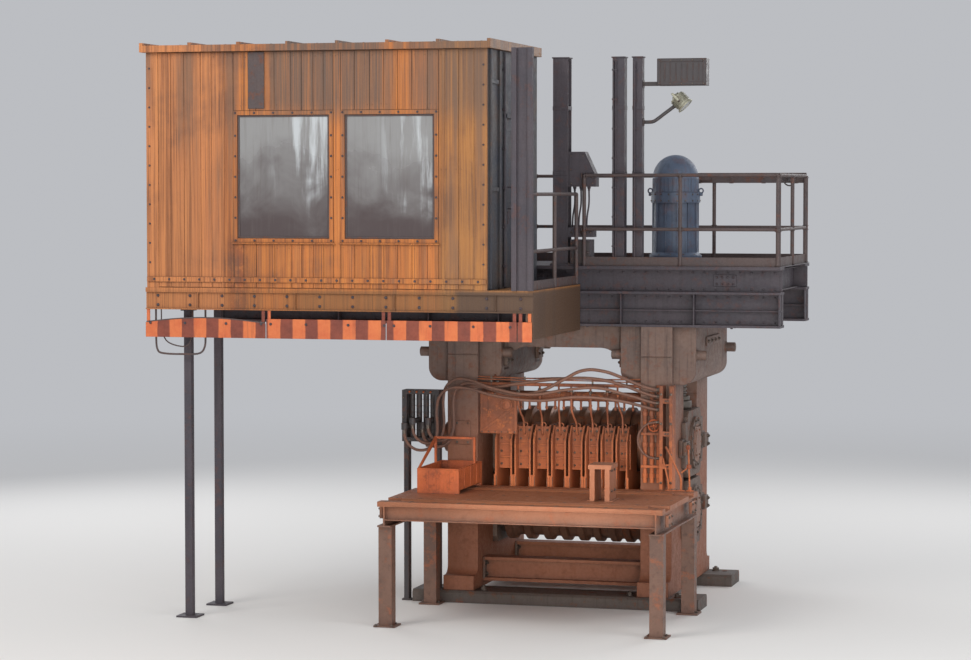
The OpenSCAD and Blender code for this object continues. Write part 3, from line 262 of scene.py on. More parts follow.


# painted_bar_light: warm colour, height where it is full, height where it is gone, and its share; painted
# light of the hot bar
STEELS = {
    "cast_frame": dict(paint=(120, 98, 88), faded=(100, 85, 80), rust=(124, 78, 58), streak=0.55, rusty=0.6,
                       depth=0.008, edge=0.012, grain=26, painted_bar_light=((150, 88, 56), 1.4, 3.1, 0.75)),
    "sole_steel": dict(paint=(92, 82, 76), faded=(76, 68, 64), rusty=0.8),
    "chock_steel": dict(paint=(110, 92, 82), faded=(94, 78, 70), rusty=0.8, depth=0.005, edge=0.008),
    "roll_iron": dict(paint=(146, 108, 88), faded=(122, 88, 74), rust=(172, 98, 62), streak=0.2, rusty=0.6,
                      rough=(0.3, 0.6), metallic=0.55, depth=0.0015),
    "screw_steel": dict(paint=(124, 116, 108), faded=(100, 94, 88), streak=0.3, rough=(0.25, 0.55),
                        metallic=0.7, depth=0.001),
    "drive_paint": dict(paint=(92, 106, 128), faded=(78, 90, 110), dirt_and_shade=(58, 64, 76), rusty=0.25,
                        rough=(0.35, 0.7), depth=0.002),
    # guide_rust: its pale paint and rust are in part painted light of the hot bar as well
    "guide_rust": dict(paint=(156, 94, 66), faded=(120, 78, 62), rust=(192, 114, 70), dirt_and_shade=(82, 56, 47),
                       streak=0.85, worn=0.8, rusty=0.8, rough=(0.55, 0.9), depth=0.005, tone=0.2,
                       painted_bar_light=((212, 118, 68), 1.35, 2.5, 0.85)),
    "platform_paint": dict(paint=(76, 69, 75), faded=(64, 61, 69), rust=(104, 68, 58), dirt_and_shade=(54, 50, 56),
                           streak=0.6, worn=0.6, rusty=0.4),
    "rail_paint": dict(paint=(86, 72, 70), faded=(74, 66, 68), streak=0.3, worn=0.7, depth=0.0015,
                       edge=0.003),
    # cab_side: the dark blue-grey is painted shade, the colour of the side wall in shadow
    "cab_side": dict(paint=(62, 66, 76), faded=(88, 82, 80), rust=(116, 84, 66), dirt_and_shade=(44, 44, 50),
                     streak=0.75, rusty=0.35, depth=0.002),
    "lamp_metal": dict(paint=(196, 196, 176), faded=(170, 170, 152), dirt_and_shade=(96, 90, 80), streak=0.4, worn=0.4,
                       rusty=0.15, rough=(0.3, 0.6), depth=0.001, metallic=0.3),
    "apron_steel": dict(paint=(124, 94, 80), faded=(102, 78, 68), rust=(160, 92, 60), dirt_and_shade=(84, 64, 56),
                        streak=0.7, worn=0.6, rusty=0.6, rough=(0.35, 0.7), metallic=0.2, flow=(13, 0.8, 13),
                        painted_bar_light=((176, 108, 70), 1.47, 1.15, 0.65)),
    "tray_paint": dict(paint=(196, 100, 52), faded=(168, 84, 48), rust=(112, 62, 42), dirt_and_shade=(84, 50, 36),
                       streak=0.6, worn=0.9, rusty=0.6),
    "valve_paint": dict(paint=(70, 66, 68), faded=(58, 54, 56), rust=(124, 72, 50), streak=0.4, worn=0.7,
                        rough=(0.35, 0.7), depth=0.002),
    "hose_rubber": dict(paint=(122, 88, 74), faded=(94, 70, 62), rust=(150, 96, 70), streak=0.2, worn=0.2,
                        rusty=0.3, rough=(0.55, 0.85), depth=0.0015, edge=0.001),
}


def stripes_material(name):
    """Upright warning stripes, two colours, flaked and sooty."""
    n = Nodes(name)
    across = n.plus(n.axes()[0], n.times(n.noise(6, 4), 0.02))
    band = n.math("FRACT", n.times(across, 1 / 0.31))
    pattern = n.math("MINIMUM", n.ramp(band, 0.47, 0.53), n.ramp(band, 0.0, 0.05))
    patches = n.noise(4, 6, 0.7)
    bright = n.mix(n.ramp(patches, 0.3, 0.75), (212, 118, 68), (196, 96, 58))
    dull = n.mix(n.ramp(patches, 0.3, 0.75), (136, 68, 50), (108, 56, 46))
    spots = n.noise(16, 7, 0.7)
    edge_mask, rounded = n.edges(0.005)
    colour = n.coats(bright, (n.math("SUBTRACT", 1.0, pattern), dull),
                     (n.times(n.ramp(n.runs((30, 30, 1.6)), 0.5, 0.78), 0.55), (104, 56, 44)),
                     (n.times(edge_mask, n.ramp(spots, 0.4, 0.6)), GRIME_AND_SHADE))
    return n.finish(colour, n.ramp(spots, 0.3, 0.7, 0.45, 0.8), spots, 0.003, rounded)


def cab_material(name, tone):
    """Orange paint over sheet and boards: long brown runs from the roof down, a smoky stain, sooty foot with
    painted shade on its right part, painted shade in the crevices.
    """
    n = Nodes(name)
    x, _, z = n.axes()
    patches = n.noise(0.8, 6, 0.6, distortion=0.5)
    spots = n.noise(12, 7, 0.7)
    fine = n.noise(70, 5, 0.65)
    thin = n.runs((44, 44, 0.5), 6, 0.7)
    wide = n.runs((5.5, 5.5, 0.32), 5, 0.6)
    hair = n.runs((150, 150, 0.9), 3, 0.6)
    middling = n.runs((17, 17, 0.36), 5, 0.65)
    edge_mask, rounded = n.edges(0.004)
    colour = n.coats(n.mix(n.ramp(wide, 0.3, 0.7), (194, 117, 52), (174, 99, 48)),
                     (n.ramp(hair, 0.4, 0.75, 0.0, 0.45), (202, 142, 80)))
    if tone:
        colour = n.toned(colour, 0.44, 0.76)
    bare = n.times(n.ramp(x, -3.52, -3.40), n.ramp(x, -3.16, -3.28), n.ramp(z, 4.62, 4.45),
                   n.ramp(spots, 0.35, 0.55), 0.6)
    stain = n.ramp(n.plus(wide, n.ramp(z, 4.6, 6.7, 0.0, 0.10)), 0.55, 0.74, 0.0, 0.8)
    heavy = n.times(n.ramp(x, -2.94, -2.84), n.ramp(x, -1.38, -1.60))
    light = n.times(n.ramp(x, -1.32, -1.1), 0.65)
    smoke = n.times(n.math("MAXIMUM", heavy, light), n.ramp(z, 5.75, 6.2),
                    n.ramp(thin, 0.3, 0.6, 0.55, 1.0), 0.9)
    soot = n.times(n.ramp(patches, 0.50, 0.68), n.ramp(thin, 0.35, 0.62, 0.1, 0.75))
    foot = n.ramp(z, 3.97, 3.92)
    colour = n.coats(
        colour,
        (n.ramp(x, -3.40, -3.55, 0.0, 0.40), (196, 132, 92)),
        (n.ramp(x, -0.92, -0.78, 0.0, 0.55), (154, 116, 66)),
        (bare, (112, 56, 40)),
        (n.ramp(middling, 0.5, 0.66, 0.0, 0.55), (122, 76, 46)),
        (n.ramp(thin, 0.45, 0.68, 0.0, 0.85), (116, 68, 40)),
        (stain, (122, 90, 68)),
        (smoke, (94, 78, 68)),
        (soot, (90, 62, 50)),
        # Sooty foot, thicker to the right, and a dark coat right of x -0.6: the rise to the right and the
        # dark coat are painted shade on the floor beam
        (n.times(foot, n.ramp(x, -3.0, -2.4, 0.2, 0.6)), (104, 76, 46)),
        (n.times(foot, n.ramp(x, -0.70, -0.60, 0.0, 0.75)), (66, 54, 48)),
        (n.times(edge_mask, n.ramp(spots, 0.4, 0.62)), (104, 66, 44)),
        # Painted shade in the crevices, from the ambient occlusion
        (n.times(n.crevice_shade(0.10), 0.6), (78, 56, 42)))
    height = n.plus(n.times(thin, 0.5), n.times(fine, 0.3))
    return n.finish(colour, n.ramp(fine, 0.3, 0.7, 0.42, 0.75), height, 0.0022, rounded)


def glass_material(name):
    """Old glazing: a hazy film with painted reflection, pale above and dark towards the sill, and painted
    glare in pale runs to the right.
    """
    n = Nodes(name)
    x, _, z = n.axes()
    runs = n.runs((7, 7, 0.7), 5, 0.6)
    mixed = n.plus(n.times(n.noise(1.6, 4, 0.55, distortion=0.6), 1.6), z)
    # Painted reflection: the glass pale above and dark towards the sill, blended with a hazy film
    haze = n.ramp(mixed, 5.35, 6.65)
    pane = n.math("FRACT", n.math("MULTIPLY_ADD", x, 1 / 1.33, 2.504))
    # Painted glare: a pale reflection in runs on part of each pane, high up
    painted_glare = n.times(n.ramp(runs, 0.48, 0.64), n.ramp(pane, 0.25, 0.55), n.ramp(mixed, 5.7, 6.2), 0.75)
    colour = n.coats(n.mix(haze, (78, 68, 68), (138, 138, 138)), (painted_glare, (196, 202, 206)),
                     (n.ramp(n.runs((28, 28, 1.2), 4, 0.6), 0.5, 0.75, 0.0, 0.35), (96, 88, 86)))
    n.shader.inputs["IOR"].default_value = 1.5
    n.shader.inputs["Specular IOR Level"].default_value = 0.6
    return n.finish(colour, n.ramp(haze, 0.0, 1.0, 0.08, 0.3), runs, 0.0004)


def make_materials():
    made = {name: weathered(name, **look) for name, look in STEELS.items()}
    made["cab_orange"] = cab_material("cab_orange", False)
    made["cab_boards"] = cab_material("cab_boards", True)
    made["cab_glazing"] = glass_material("cab_glazing")
    made["stripe_paint"] = stripes_material("stripe_paint")
    return made


def paint_nodes():
    """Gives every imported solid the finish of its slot."""
    for part in frame["record"]["subparts"]:
        mesh = nodes[part["node"]].data
        mesh.materials.clear()
        mesh.materials.append(materials[part["material_slot"]])


# Numbers and places

def about(middle, reach):
    """The two values that lie this far from the middle."""
    return middle - reach, middle + reach


def spread(first, last, count):
    """Evenly spaced values, both ends included."""
    return [first + (last - first) * i / (count - 1) for i in range(count)]


def row(first, step, count):
    return [first + step * i for i in range(count)]


def around(count, start=0.0):
    """Cosine and sine of even steps around a circle."""
    angles = [start + 2 * math.pi * i / count for i in range(count)]
    return [(math.cos(a), math.sin(a)) for a in angles]


def facing(axis):
    """Turn that takes +Z to the axis, with X kept level."""
    z = Vector(axis).normalized()
    x = Vector(UP).cross(z)
    x = Vector(RIGHT) if x.length < 1e-6 else x.normalized()
    return Matrix((x, z.cross(x), z)).transposed().to_4x4()


def smooth_path(points, steps=4):
    """Curve through all the points, with the given number of steps between two."""
    points = [Vector(p) for p in points]
    padded = [2 * points[0] - points[1]] + points + [2 * points[-1] - points[-2]]
    path = []
    for a, b, c, d in zip(padded, padded[1:], padded[2:], padded[3:]):
        for k in range(steps):
            t = k / steps
            path.append(0.5 * (2 * b + (c - a) * t + (2 * a - 5 * b + 4 * c - d) * t ** 2
                               + (3 * b - a - 3 * c + d) * t ** 3))
    return path + [points[-1]]


# Shapes for the small pieces

CORNERS = list(product((0, 1), repeat=3))


def block_faces():
    """Faces of a block with chamfered edges, whose corner has a point on each of its three sides."""
    faces = [[3 * c + axis for axis in range(3)] for c in range(8)]
    loop = ((0, 0), (1, 0), (1, 1), (0, 1))
    for axis in range(3):
        first, second = (i for i in range(3) if i != axis)

        def point(end, pair, side):
            at = [end] * 3
            at[first], at[second] = pair
            return 3 * CORNERS.index(tuple(at)) + side

        faces += [[point(end, pair, axis) for pair in loop] for end in (0, 1)]
        faces += [[point(0, pair, first), point(1, pair, first), point(1, pair, second),
                   point(0, pair, second)] for pair in loop]
    return faces


BLOCK_FACES = block_faces()


def tube_faces(rings, sides, closed=False):
    """Faces over rings of points: the ends are capped, or the last ring meets the first."""
    faces = [] if closed else [list(range(sides)), list(range((rings - 1) * sides, rings * sides))]
    for ring in range(rings if closed else rings - 1):
        near, far = ring * sides, (ring + 1) % rings * sides
        faces += [[near + k, near + (k + 1) % sides, far + (k + 1) % sides, far + k] for k in range(sides)]
    return faces


class Form:
    """Points and faces of one piece while it is put together; the tone tints what is added next."""

    def __init__(self):
        self.points = []
        self.faces = []
        self.tones = []
        self.tone = 0.5

    def add(self, points, faces):
        first = len(self.points)
        self.points += [tuple(p) for p in points]
        self.faces += [[first + i for i in face] for face in faces]
        self.tones += [self.tone] * len(points)

    def block(self, xs, ys, zs, edge=0.004, turn=None):
        """Block with chamfered edges between two values on each axis, in either order."""
        spans = [sorted(pair) for pair in (xs, ys, zs)]
        e = min([edge] + [0.45 * (high - low) for low, high in spans])
        points = []
        for corner in CORNERS:
            at = [spans[i][corner[i]] for i in range(3)]
            for axis in range(3):
                point = Vector([at[i] if i == axis else at[i] + (e, -e)[corner[i]] for i in range(3)])
                points.append(turn @ point if turn else point)
        self.add(points, BLOCK_FACES)

    def bar(self, a, b, wide, high, edge=0.003):
        """Rectangular bar from a to b, its width level."""
        a, b = Vector(a), Vector(b)
        turn = Matrix.Translation(a) @ facing(b - a)
        self.block((-wide / 2, wide / 2), (-high / 2, high / 2), (0, (b - a).length), edge, turn)

    def frame(self, xs, ys, zs, wide):
        """Four bars around an upright rectangle, inside its outline."""
        for x in (xs[0], xs[1] - wide):
            self.block((x, x + wide), ys, zs, 0.003)
        for z in (zs[0], zs[1] - wide):
            self.block((xs[0] + wide, xs[1] - wide), ys, (z, z + wide), 0.003)

    def plate(self, outline, at, thick):
        """Upright plate whose outline runs in x and z, its back at the given place."""
        points = [Vector(at) + Vector((x, y, z)) for y in (0, -thick) for x, z in outline]
        self.add(points, tube_faces(2, len(outline)))

    def lathe(self, profile, at, axis, sides=20):
        """Turned shape: the profile gives radius and distance along the axis, from end to end."""
        turn = Matrix.Translation(Vector(at)) @ facing(axis)
        points = [turn @ Vector((radius * c, radius * s, along)) for radius, along in profile
                  for c, s in around(sides)]
        self.add(points, tube_faces(len(profile), sides))

    def rod(self, a, b, radius, sides=14, edge=0.002):
        a, b = Vector(a), Vector(b)
        length = (b - a).length
        e = min(edge, radius * 0.4, length * 0.4)
        self.lathe([(radius - e, 0), (radius, e), (radius, length - e), (radius - e, length)], a,
                   b - a, sides)

    def bolt(self, at, normal, size, stud=True):
        """Hexagon head or nut on its washer, facing along the normal."""
        washer, top = 0.14 * size, 0.50 * size
        self.lathe([(0.60 * size, 0), (0.60 * size, washer)], at, normal, 16)
        self.lathe([(0.5 * size, washer), (0.5 * size, top - 0.05 * size), (0.43 * size, top)], at, normal, 6)
        if stud:
            self.lathe([(0.26 * size, top), (0.26 * size, top + 0.14 * size),
                        (0.2 * size, top + 0.19 * size)], at, normal, 10)

    def bolts(self, xs, ys, zs, normal, size, stud=True):
        """A bolt at every combination of the values; an axis with a single value needs no list."""
        rows = [[v] if isinstance(v, (int, float)) else v for v in (xs, ys, zs)]
        for at in product(*rows):
            self.bolt(at, normal, size, stud)

    def bolt_circle(self, centre, axis, radius, count, size, start=0.0, stud=True):
        for c, s in around(count, start):
            self.bolt(Vector(centre) + facing(axis) @ Vector((radius * c, radius * s, 0)), axis, size, stud)

    def sweep(self, path, radius, sides=12):
        """Round tube along a path."""
        path = [Vector(p) for p in path]
        side = (path[1] - path[0]).orthogonal()
        points = []
        for i, middle in enumerate(path):
            heading = (path[min(i + 1, len(path) - 1)] - path[max(i - 1, 0)]).normalized()
            side = (side - heading * side.dot(heading)).normalized()
            other = heading.cross(side)
            points += [middle + radius * (c * side + s * other) for c, s in around(sides)]
        self.add(points, tube_faces(len(path), sides))

    def pipe(self, points, radius, sides=10, steps=4):
        self.sweep(smooth_path(points, steps), radius, sides)

    def ring(self, at, axis, radius, wire, sides=24, wire_sides=8):
        """Closed ring of round wire."""
        turn = Matrix.Translation(Vector(at)) @ facing(axis)
        points = [turn @ Vector(((radius + wire * c) * cos, (radius + wire * c) * sin, wire * s))
                  for cos, sin in around(sides) for c, s in around(wire_sides)]
        self.add(points, tube_faces(sides, wire_sides, closed=True))

    def hand_wheel(self, hub, radius, wire, spoke, start):
        """Upright wheel with four spokes."""
        self.ring(hub, BACK, radius, wire, 28, 8)
        reach = radius - 0.002
        for c, s in around(4, start):
            self.rod(hub, hub + Vector((reach * c, 0, reach * s)), spoke, 8)

    def make(self, name, material, body="frame", sharp=32):
        """The piece as an object that rides on a body, smooth but for its sharp edges."""
        mesh = bpy.data.meshes.new(name)
        mesh.from_pydata(self.points, [], self.faces)
        tone = mesh.attributes.new("tone", "FLOAT", "POINT")
        tone.data.foreach_set("value", self.tones)
        shape = bmesh.new()
        shape.from_mesh(mesh)
        bmesh.ops.recalc_face_normals(shape, faces=shape.faces)
        shape.to_mesh(mesh)
        shape.free()
        mesh.shade_smooth()
        mesh.set_sharp_from_angle(angle=math.radians(sharp))
        mesh.materials.append(materials[material])
        piece = place(name, mesh)
        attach(piece, body)
        return piece


# Hoses

FACE_Y = box["girder_front"][0].y
PASS_Z = (box["bottom_roll"][1].z + box["top_roll"][0].z) / 2
VALVE_X = row(-1.825, 0.09, 4)
HOSE_SPAN = centre_of("housing_right").x
PIPE_X = 1.31
HOSE_LEAD = 0.05
LOOP_OFF = -0.175


def spot(x, off, up):
    """Place from its way off the front face and its height over the pass line."""
    return round(x, 4), round(FACE_Y + off, 4), round(PASS_Z + up, 4)


def bend(x, off, up, radius, first, last):
    """Upright arc around the place, a point every 30 degrees from the first angle to the last."""
    step = 30 if last > first else -30
    turns = [math.radians(angle) for angle in range(first, last + step, step)]
    return [spot(x + radius * math.cos(t), off, up + radius * math.sin(t)) for t in turns]


def valve_route(valve, port, bends, between, end):
    """Out of a valve, around the bend below it, up and over the next one, and across to the pipe stand."""
    x = VALVE_X[valve]
    off, low_r, low_up, high_r, high_up = bends
    return [spot(x, off, port), *bend(x + low_r, off, low_up, low_r, 180, 360),
            *bend(x + 2 * low_r + high_r, off, high_up, high_r, 180, 90),
            *(spot(share * HOSE_SPAN, off, up) for share, off, up in between),
            spot(PIPE_X - HOSE_LEAD, *end), spot(PIPE_X, *end)]


# Diameter, length, route. A route's numbers are the valve and its port's height over the pass line; the way
# off the front face, radius and height of the bend below the valve, radius and height of the one above; the
# points between, as share of HOSE_SPAN, way off the face and height; and the end at the pipes
HOSES = {
    "hose_low": (0.04, 3.715, valve_route(
        3, 0.72, (-0.43, 0.165, 0.69, 0.2, 1.045),
        [(-0.62, -0.435, 1.175), (-0.34, -0.44, 1.108), (-0.08, -0.43, 1.17), (0.14, -0.415, 1.31),
         (0.33, -0.39, 1.42), (0.52, -0.33, 1.41), (0.7, -0.26, 1.33), (0.86, -0.19, 1.24)], (-0.14, 1.18))),
    "hose_high": (0.04, 3.748, valve_route(
        2, 0.66, (-0.36, 0.19, 0.63, 0.2, 0.995),
        [(-0.62, -0.35, 1.19), (-0.3, -0.36, 1.25), (0.1, -0.345, 1.31), (0.45, -0.3, 1.31),
         (0.72, -0.22, 1.23), (0.88, -0.16, 1.15)], (-0.13, 1.1))),
    "hose_fine": (0.036, 3.926, valve_route(
        1, 0.72, (-0.495, 0.2, 0.69, 0.22, 1.08),
        [(-0.58, -0.49, 1.19), (-0.2, -0.5, 1.12), (0.2, -0.47, 1.19), (0.48, -0.41, 1.21),
         (0.76, -0.29, 1.12)], (-0.15, 1.02))),
    "hose_last": (0.036, 3.99, valve_route(
        0, 0.66, (-0.545, 0.21, 0.62, 0.24, 0.955),
        [(-0.5, -0.54, 1.09), (-0.1, -0.53, 1.05), (0.3, -0.49, 1.1), (0.7, -0.34, 1.05)], (-0.15, 0.94))),
    "hose_loop": (0.026, 0.803, [spot(PIPE_X, LOOP_OFF, 0.79),
                                 *bend(PIPE_X - HOSE_LEAD, LOOP_OFF, 0.568, 0.222, 90, 270),
                                 spot(PIPE_X, LOOP_OFF, 0.346)]),
}


def make_hoses():
    """Each hose is one curve between its two fittings; the fittings are one piece on the stand."""
    fittings = Form()
    for name, (diameter, length, route) in HOSES.items():
        r = diameter / 2
        curve = bpy.data.curves.new(name, "CURVE")
        curve.dimensions = "3D"
        curve.bevel_depth = r
        curve.bevel_resolution = 4
        spline = curve.splines.new("BEZIER")
        spline.bezier_points.add(len(route) - 1)
        spline.resolution_u = 6
        for point, at in zip(spline.bezier_points, route):
            point.co = at
            point.handle_left_type = point.handle_right_type = "AUTO"
        curve.materials.append(materials["hose_rubber"])
        piece = place(name, curve)
        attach(piece, "frame")
        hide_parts("hoses")
        for end, inner in ((route[0], route[1]), (route[-1], route[-2])):
            axis = Vector(inner) - Vector(end)
            fittings.lathe([(1.5 * r, 0.0), (1.5 * r, 0.016), (1.36 * r, 0.019)], end, axis, 6)
            fittings.lathe([(1.24 * r, 0.018), (1.24 * r, 0.03), (1.14 * r, 0.032), (1.24 * r, 0.034),
                            (1.24 * r, 0.046), (1.08 * r, 0.049)], end, axis, 16)
    fittings.make("hose_fittings", "screw_steel")


# Cab

WALL_Y = CAB_FRONT + 0.014
GLASS_Y = CAB_FRONT + 0.025
CORNER_W = 0.15
SURROUND = 0.05
WINDOWS = ((-3.33, -2.19), (-2.0, -0.91))
SURROUNDS = [(x0 - SURROUND, x1 + SURROUND) for x0, x1 in WINDOWS]
SILL_Z, HEAD_Z = 4.55, 6.0
JOINTS = (-3.79, -3.51, -0.80)
BOARD_W = 0.165


def make_cab_boards():
    """Upright boards of uneven width, thickness and tone on the front wall, and their nails."""
    boards, nails = Form(), Form()
    marks = sorted({CAB_LEFT + CORNER_W + 0.001, CAB_RIGHT - CORNER_W - 0.001, *JOINTS, *sum(SURROUNDS, ())})
    for x0, x1 in zip(marks, marks[1:]):
        shares = [rng.uniform(0.65, 1.35) for _ in range(max(1, round((x1 - x0) / BOARD_W)))]
        b = x0
        for share in shares:
            a, b = b, b + (x1 - x0) * share / sum(shares)
            middle = (a + b) / 2
            foot, top = FLOOR_Z + 0.008, TOP_Z - 0.006
            spans = [(foot, top)]
            if any(left < middle < right for left, right in SURROUNDS):
                spans = [(foot, SILL_Z - SURROUND - 0.002), (HEAD_Z + SURROUND + 0.002, top)]
            boards.tone = (0.30 if middle < JOINTS[0] else 0.52) + rng.uniform(-0.22, 0.26)
            face = WALL_Y - rng.uniform(0.006, 0.011)
            gap = rng.uniform(0.0008, 0.0024)
            for low, high in spans:
                boards.block((a + gap, b - gap), (face, WALL_Y - 0.0004), (low, high), 0.003)
                heights = [low + 0.06, high - 0.06] + ([(low + high) / 2] if high - low > 1.2 else [])
                for z, x in product(heights, (a + 0.03, b - 0.03)):
                    nails.lathe([(0.007, 0), (0.0065, 0.002), (0.003, 0.0035)],
                                (x, face, z + rng.uniform(-0.006, 0.006)), FRONT, 8)
    boards.make("cab_front_boards", "cab_boards")
    nails.make("cab_front_nails", "cab_orange")


def make_cab_trim():
    """Seam strips, window gaskets, bolts on the surrounds and along the floor beam, the lath over its gap."""
    trim, dark, bolts = Form(), Form(), Form()
    for x in JOINTS[1:]:
        trim.block(about(x, 0.019), (CAB_FRONT - 0.004, WALL_Y - 0.009),
                   (FLOOR_Z + 0.006, TOP_Z - 0.004), 0.002)
    sill, head = SILL_Z - SURROUND / 2, HEAD_Z + SURROUND / 2
    for x0, x1 in WINDOWS:
        dark.frame((x0 + 0.001, x1 - 0.001), (GLASS_Y - 0.012, GLASS_Y - 0.0005),
                   (SILL_Z + 0.001, HEAD_Z - 0.001), 0.022)
        left, right = x0 - SURROUND / 2, x1 + SURROUND / 2
        bolts.bolts(spread(left, right, 6), CAB_FRONT, (sill, head), FRONT, 0.022, False)
        bolts.bolts((left, right), CAB_FRONT, spread(SILL_Z, HEAD_Z, 7)[1:-1], FRONT, 0.022, False)
        trim.block((x0 - SURROUND - 0.02, x1 + SURROUND + 0.02), (CAB_FRONT - 0.028, CAB_FRONT - 0.0005),
                   (SILL_Z - SURROUND - 0.016, SILL_Z - SURROUND))
    dark.block((-3.19, -2.99), (CAB_FRONT - 0.006, WALL_Y - 0.0115), (HEAD_Z + 0.075, TOP_Z - 0.01), 0.003)
    trim.block((CAB_LEFT + 0.004, CAB_RIGHT - 0.004), (CAB_FRONT - 0.016, CAB_FRONT - 0.0004),
               (FLOOR_Z + 0.07, FLOOR_Z + 0.13), 0.003)
    bolts.bolts(spread(CAB_LEFT + 0.1, CAB_RIGHT - 0.1, 22), CAB_FRONT - 0.016, FLOOR_Z + 0.10, FRONT,
                0.024, False)
    web = CAB_FRONT + 0.025
    low, high = box["cab_frame"]
    beam = spread(low.x + 0.15, high.x - 0.15, 12)
    bolts.bolts(beam, web, (3.755, 3.865), FRONT, 0.03)
    for x in beam[1::3]:
        trim.block((x + 0.10, x + 0.112), (CAB_FRONT + 0.001, web - 0.0005), (3.7145, 3.9055), 0.002)
    bolts.bolts((CAB_LEFT + 0.04, CAB_RIGHT - 0.04), CAB_FRONT + 0.004, row(FLOOR_Z + 0.3, 0.23, 11),
                FRONT, 0.02, False)
    trim.make("cab_trim", "cab_orange")
    dark.make("cab_gaskets", "rail_paint")
    bolts.make("cab_bolts", "platform_paint")


def make_cab_roof():
    """Seam bolts of the roof sheets and the pads under the lifting hooks."""
    low, high = box["cab_roof"]
    pads, bolts = Form(), Form()
    bolts.bolts(spread(low.x + 0.16, high.x - 0.16, 15), spread(low.y + 0.2, high.y - 0.2, 5), high.z - 0.03,
                UP, 0.026, False)
    for x, y in product((low.x + 0.5, high.x - 0.5), (low.y + 0.45, high.y - 0.45)):
        pads.block(about(x, 0.09), about(y, 0.06), (high.z - 0.0305, high.z - 0.018), 0.003)
    pads.make("cab_roof_edge", "cab_orange")
    bolts.make("cab_roof_bolts", "platform_paint")


def make_cab_side():
    """Door furniture, frame around the doorway, side ribs and the conduit up the wall, dark with painted
    shade.
    """
    x, skin = CAB_RIGHT, CAB_RIGHT + 0.0005
    low, high = box["cab_door"]
    frames, metal = Form(), Form()
    for ys in ((low.y - 0.06, low.y - 0.004), (high.y + 0.004, high.y + 0.06)):
        frames.block((skin, x + 0.02), ys, (FLOOR_Z + 0.005, high.z + 0.06), 0.003)
    frames.block((skin, x + 0.02), (low.y - 0.06, high.y + 0.06), (high.z + 0.006, high.z + 0.062), 0.003)
    for y in (CAB_FRONT + 0.10, CAB_FRONT + 0.50, high.y + 0.32):
        frames.block((skin, x + 0.03), (y, y + 0.05), (FLOOR_Z + 0.005, TOP_Z - 0.005), 0.003)
    for z in (5.1, 6.35):
        frames.block((skin, x + 0.018), (CAB_FRONT + 0.16, CAB_FRONT + 0.49), (z, z + 0.05), 0.003)
    handle_y = low.y + 0.10
    handle = ((-0.003, 4.90), (0.045, 4.90), (0.05, 4.93), (0.05, 5.12), (0.045, 5.15), (-0.003, 5.15))
    metal.pipe([(x + out, handle_y, z) for out, z in handle], 0.009, steps=3)
    metal.block((x - 0.003, x + 0.012), about(handle_y, 0.04), (4.72, 4.86), 0.003)
    metal.lathe([(0.016, 0), (0.016, 0.006), (0.007, 0.01)], (x + 0.012, handle_y, 4.79), RIGHT, 14)
    metal.sweep([(x + 0.022, CAB_FRONT + 0.72, z) for z in (FLOOR_Z + 0.02, TOP_Z - 0.02)], 0.016)
    for z in row(FLOOR_Z + 0.25, 0.46, 6):
        metal.block((skin, x + 0.042), (CAB_FRONT + 0.69, CAB_FRONT + 0.75), (z, z + 0.03))
    frames.make("cab_side_frames", "cab_side")
    metal.make("cab_door_metal", "platform_paint")


def make_skirt():
    """Bolts of the striped plates, the rolled rim of the bowed one and the rod loops behind it."""
    low, high = box["striped_skirt"]
    rods, bolts = Form(), Form()
    for x0 in row(-4.5, 1.52, 3):
        bolts.bolts((x0 + 0.06, x0 + 0.5, x0 + 1.02, x0 + 1.46), low.y, high.z - 0.16, FRONT, 0.028, False)
    rim = [(-4.49 + 1.49 * t, low.y + 0.005, 3.551 + 0.055 * math.sin(math.pi * t)) for t in spread(0, 1, 17)]
    rods.sweep(rim, 0.008, 8)
    wide_loop = ((-4.40, 3.705), (-4.40, 3.40), (-4.385, 3.22), (-4.30, 3.17), (-4.0, 3.165), (-3.84, 3.18),
                 (-3.78, 3.26), (-3.77, 3.40), (-3.77, 3.705))
    narrow_loop = ((-4.34, 3.705), (-4.33, 3.45), (-4.25, 3.30), (-4.02, 3.26), (-3.95, 3.42), (-3.94, 3.705))
    rods.pipe([(x, -3.42, z) for x, z in wide_loop], 0.012)
    rods.pipe([(x, -3.40, z) for x, z in narrow_loop], 0.008, 8)
    rods.make("skirt_rods", "rail_paint")
    bolts.make("skirt_bolts", "platform_paint")


# Drive and platform

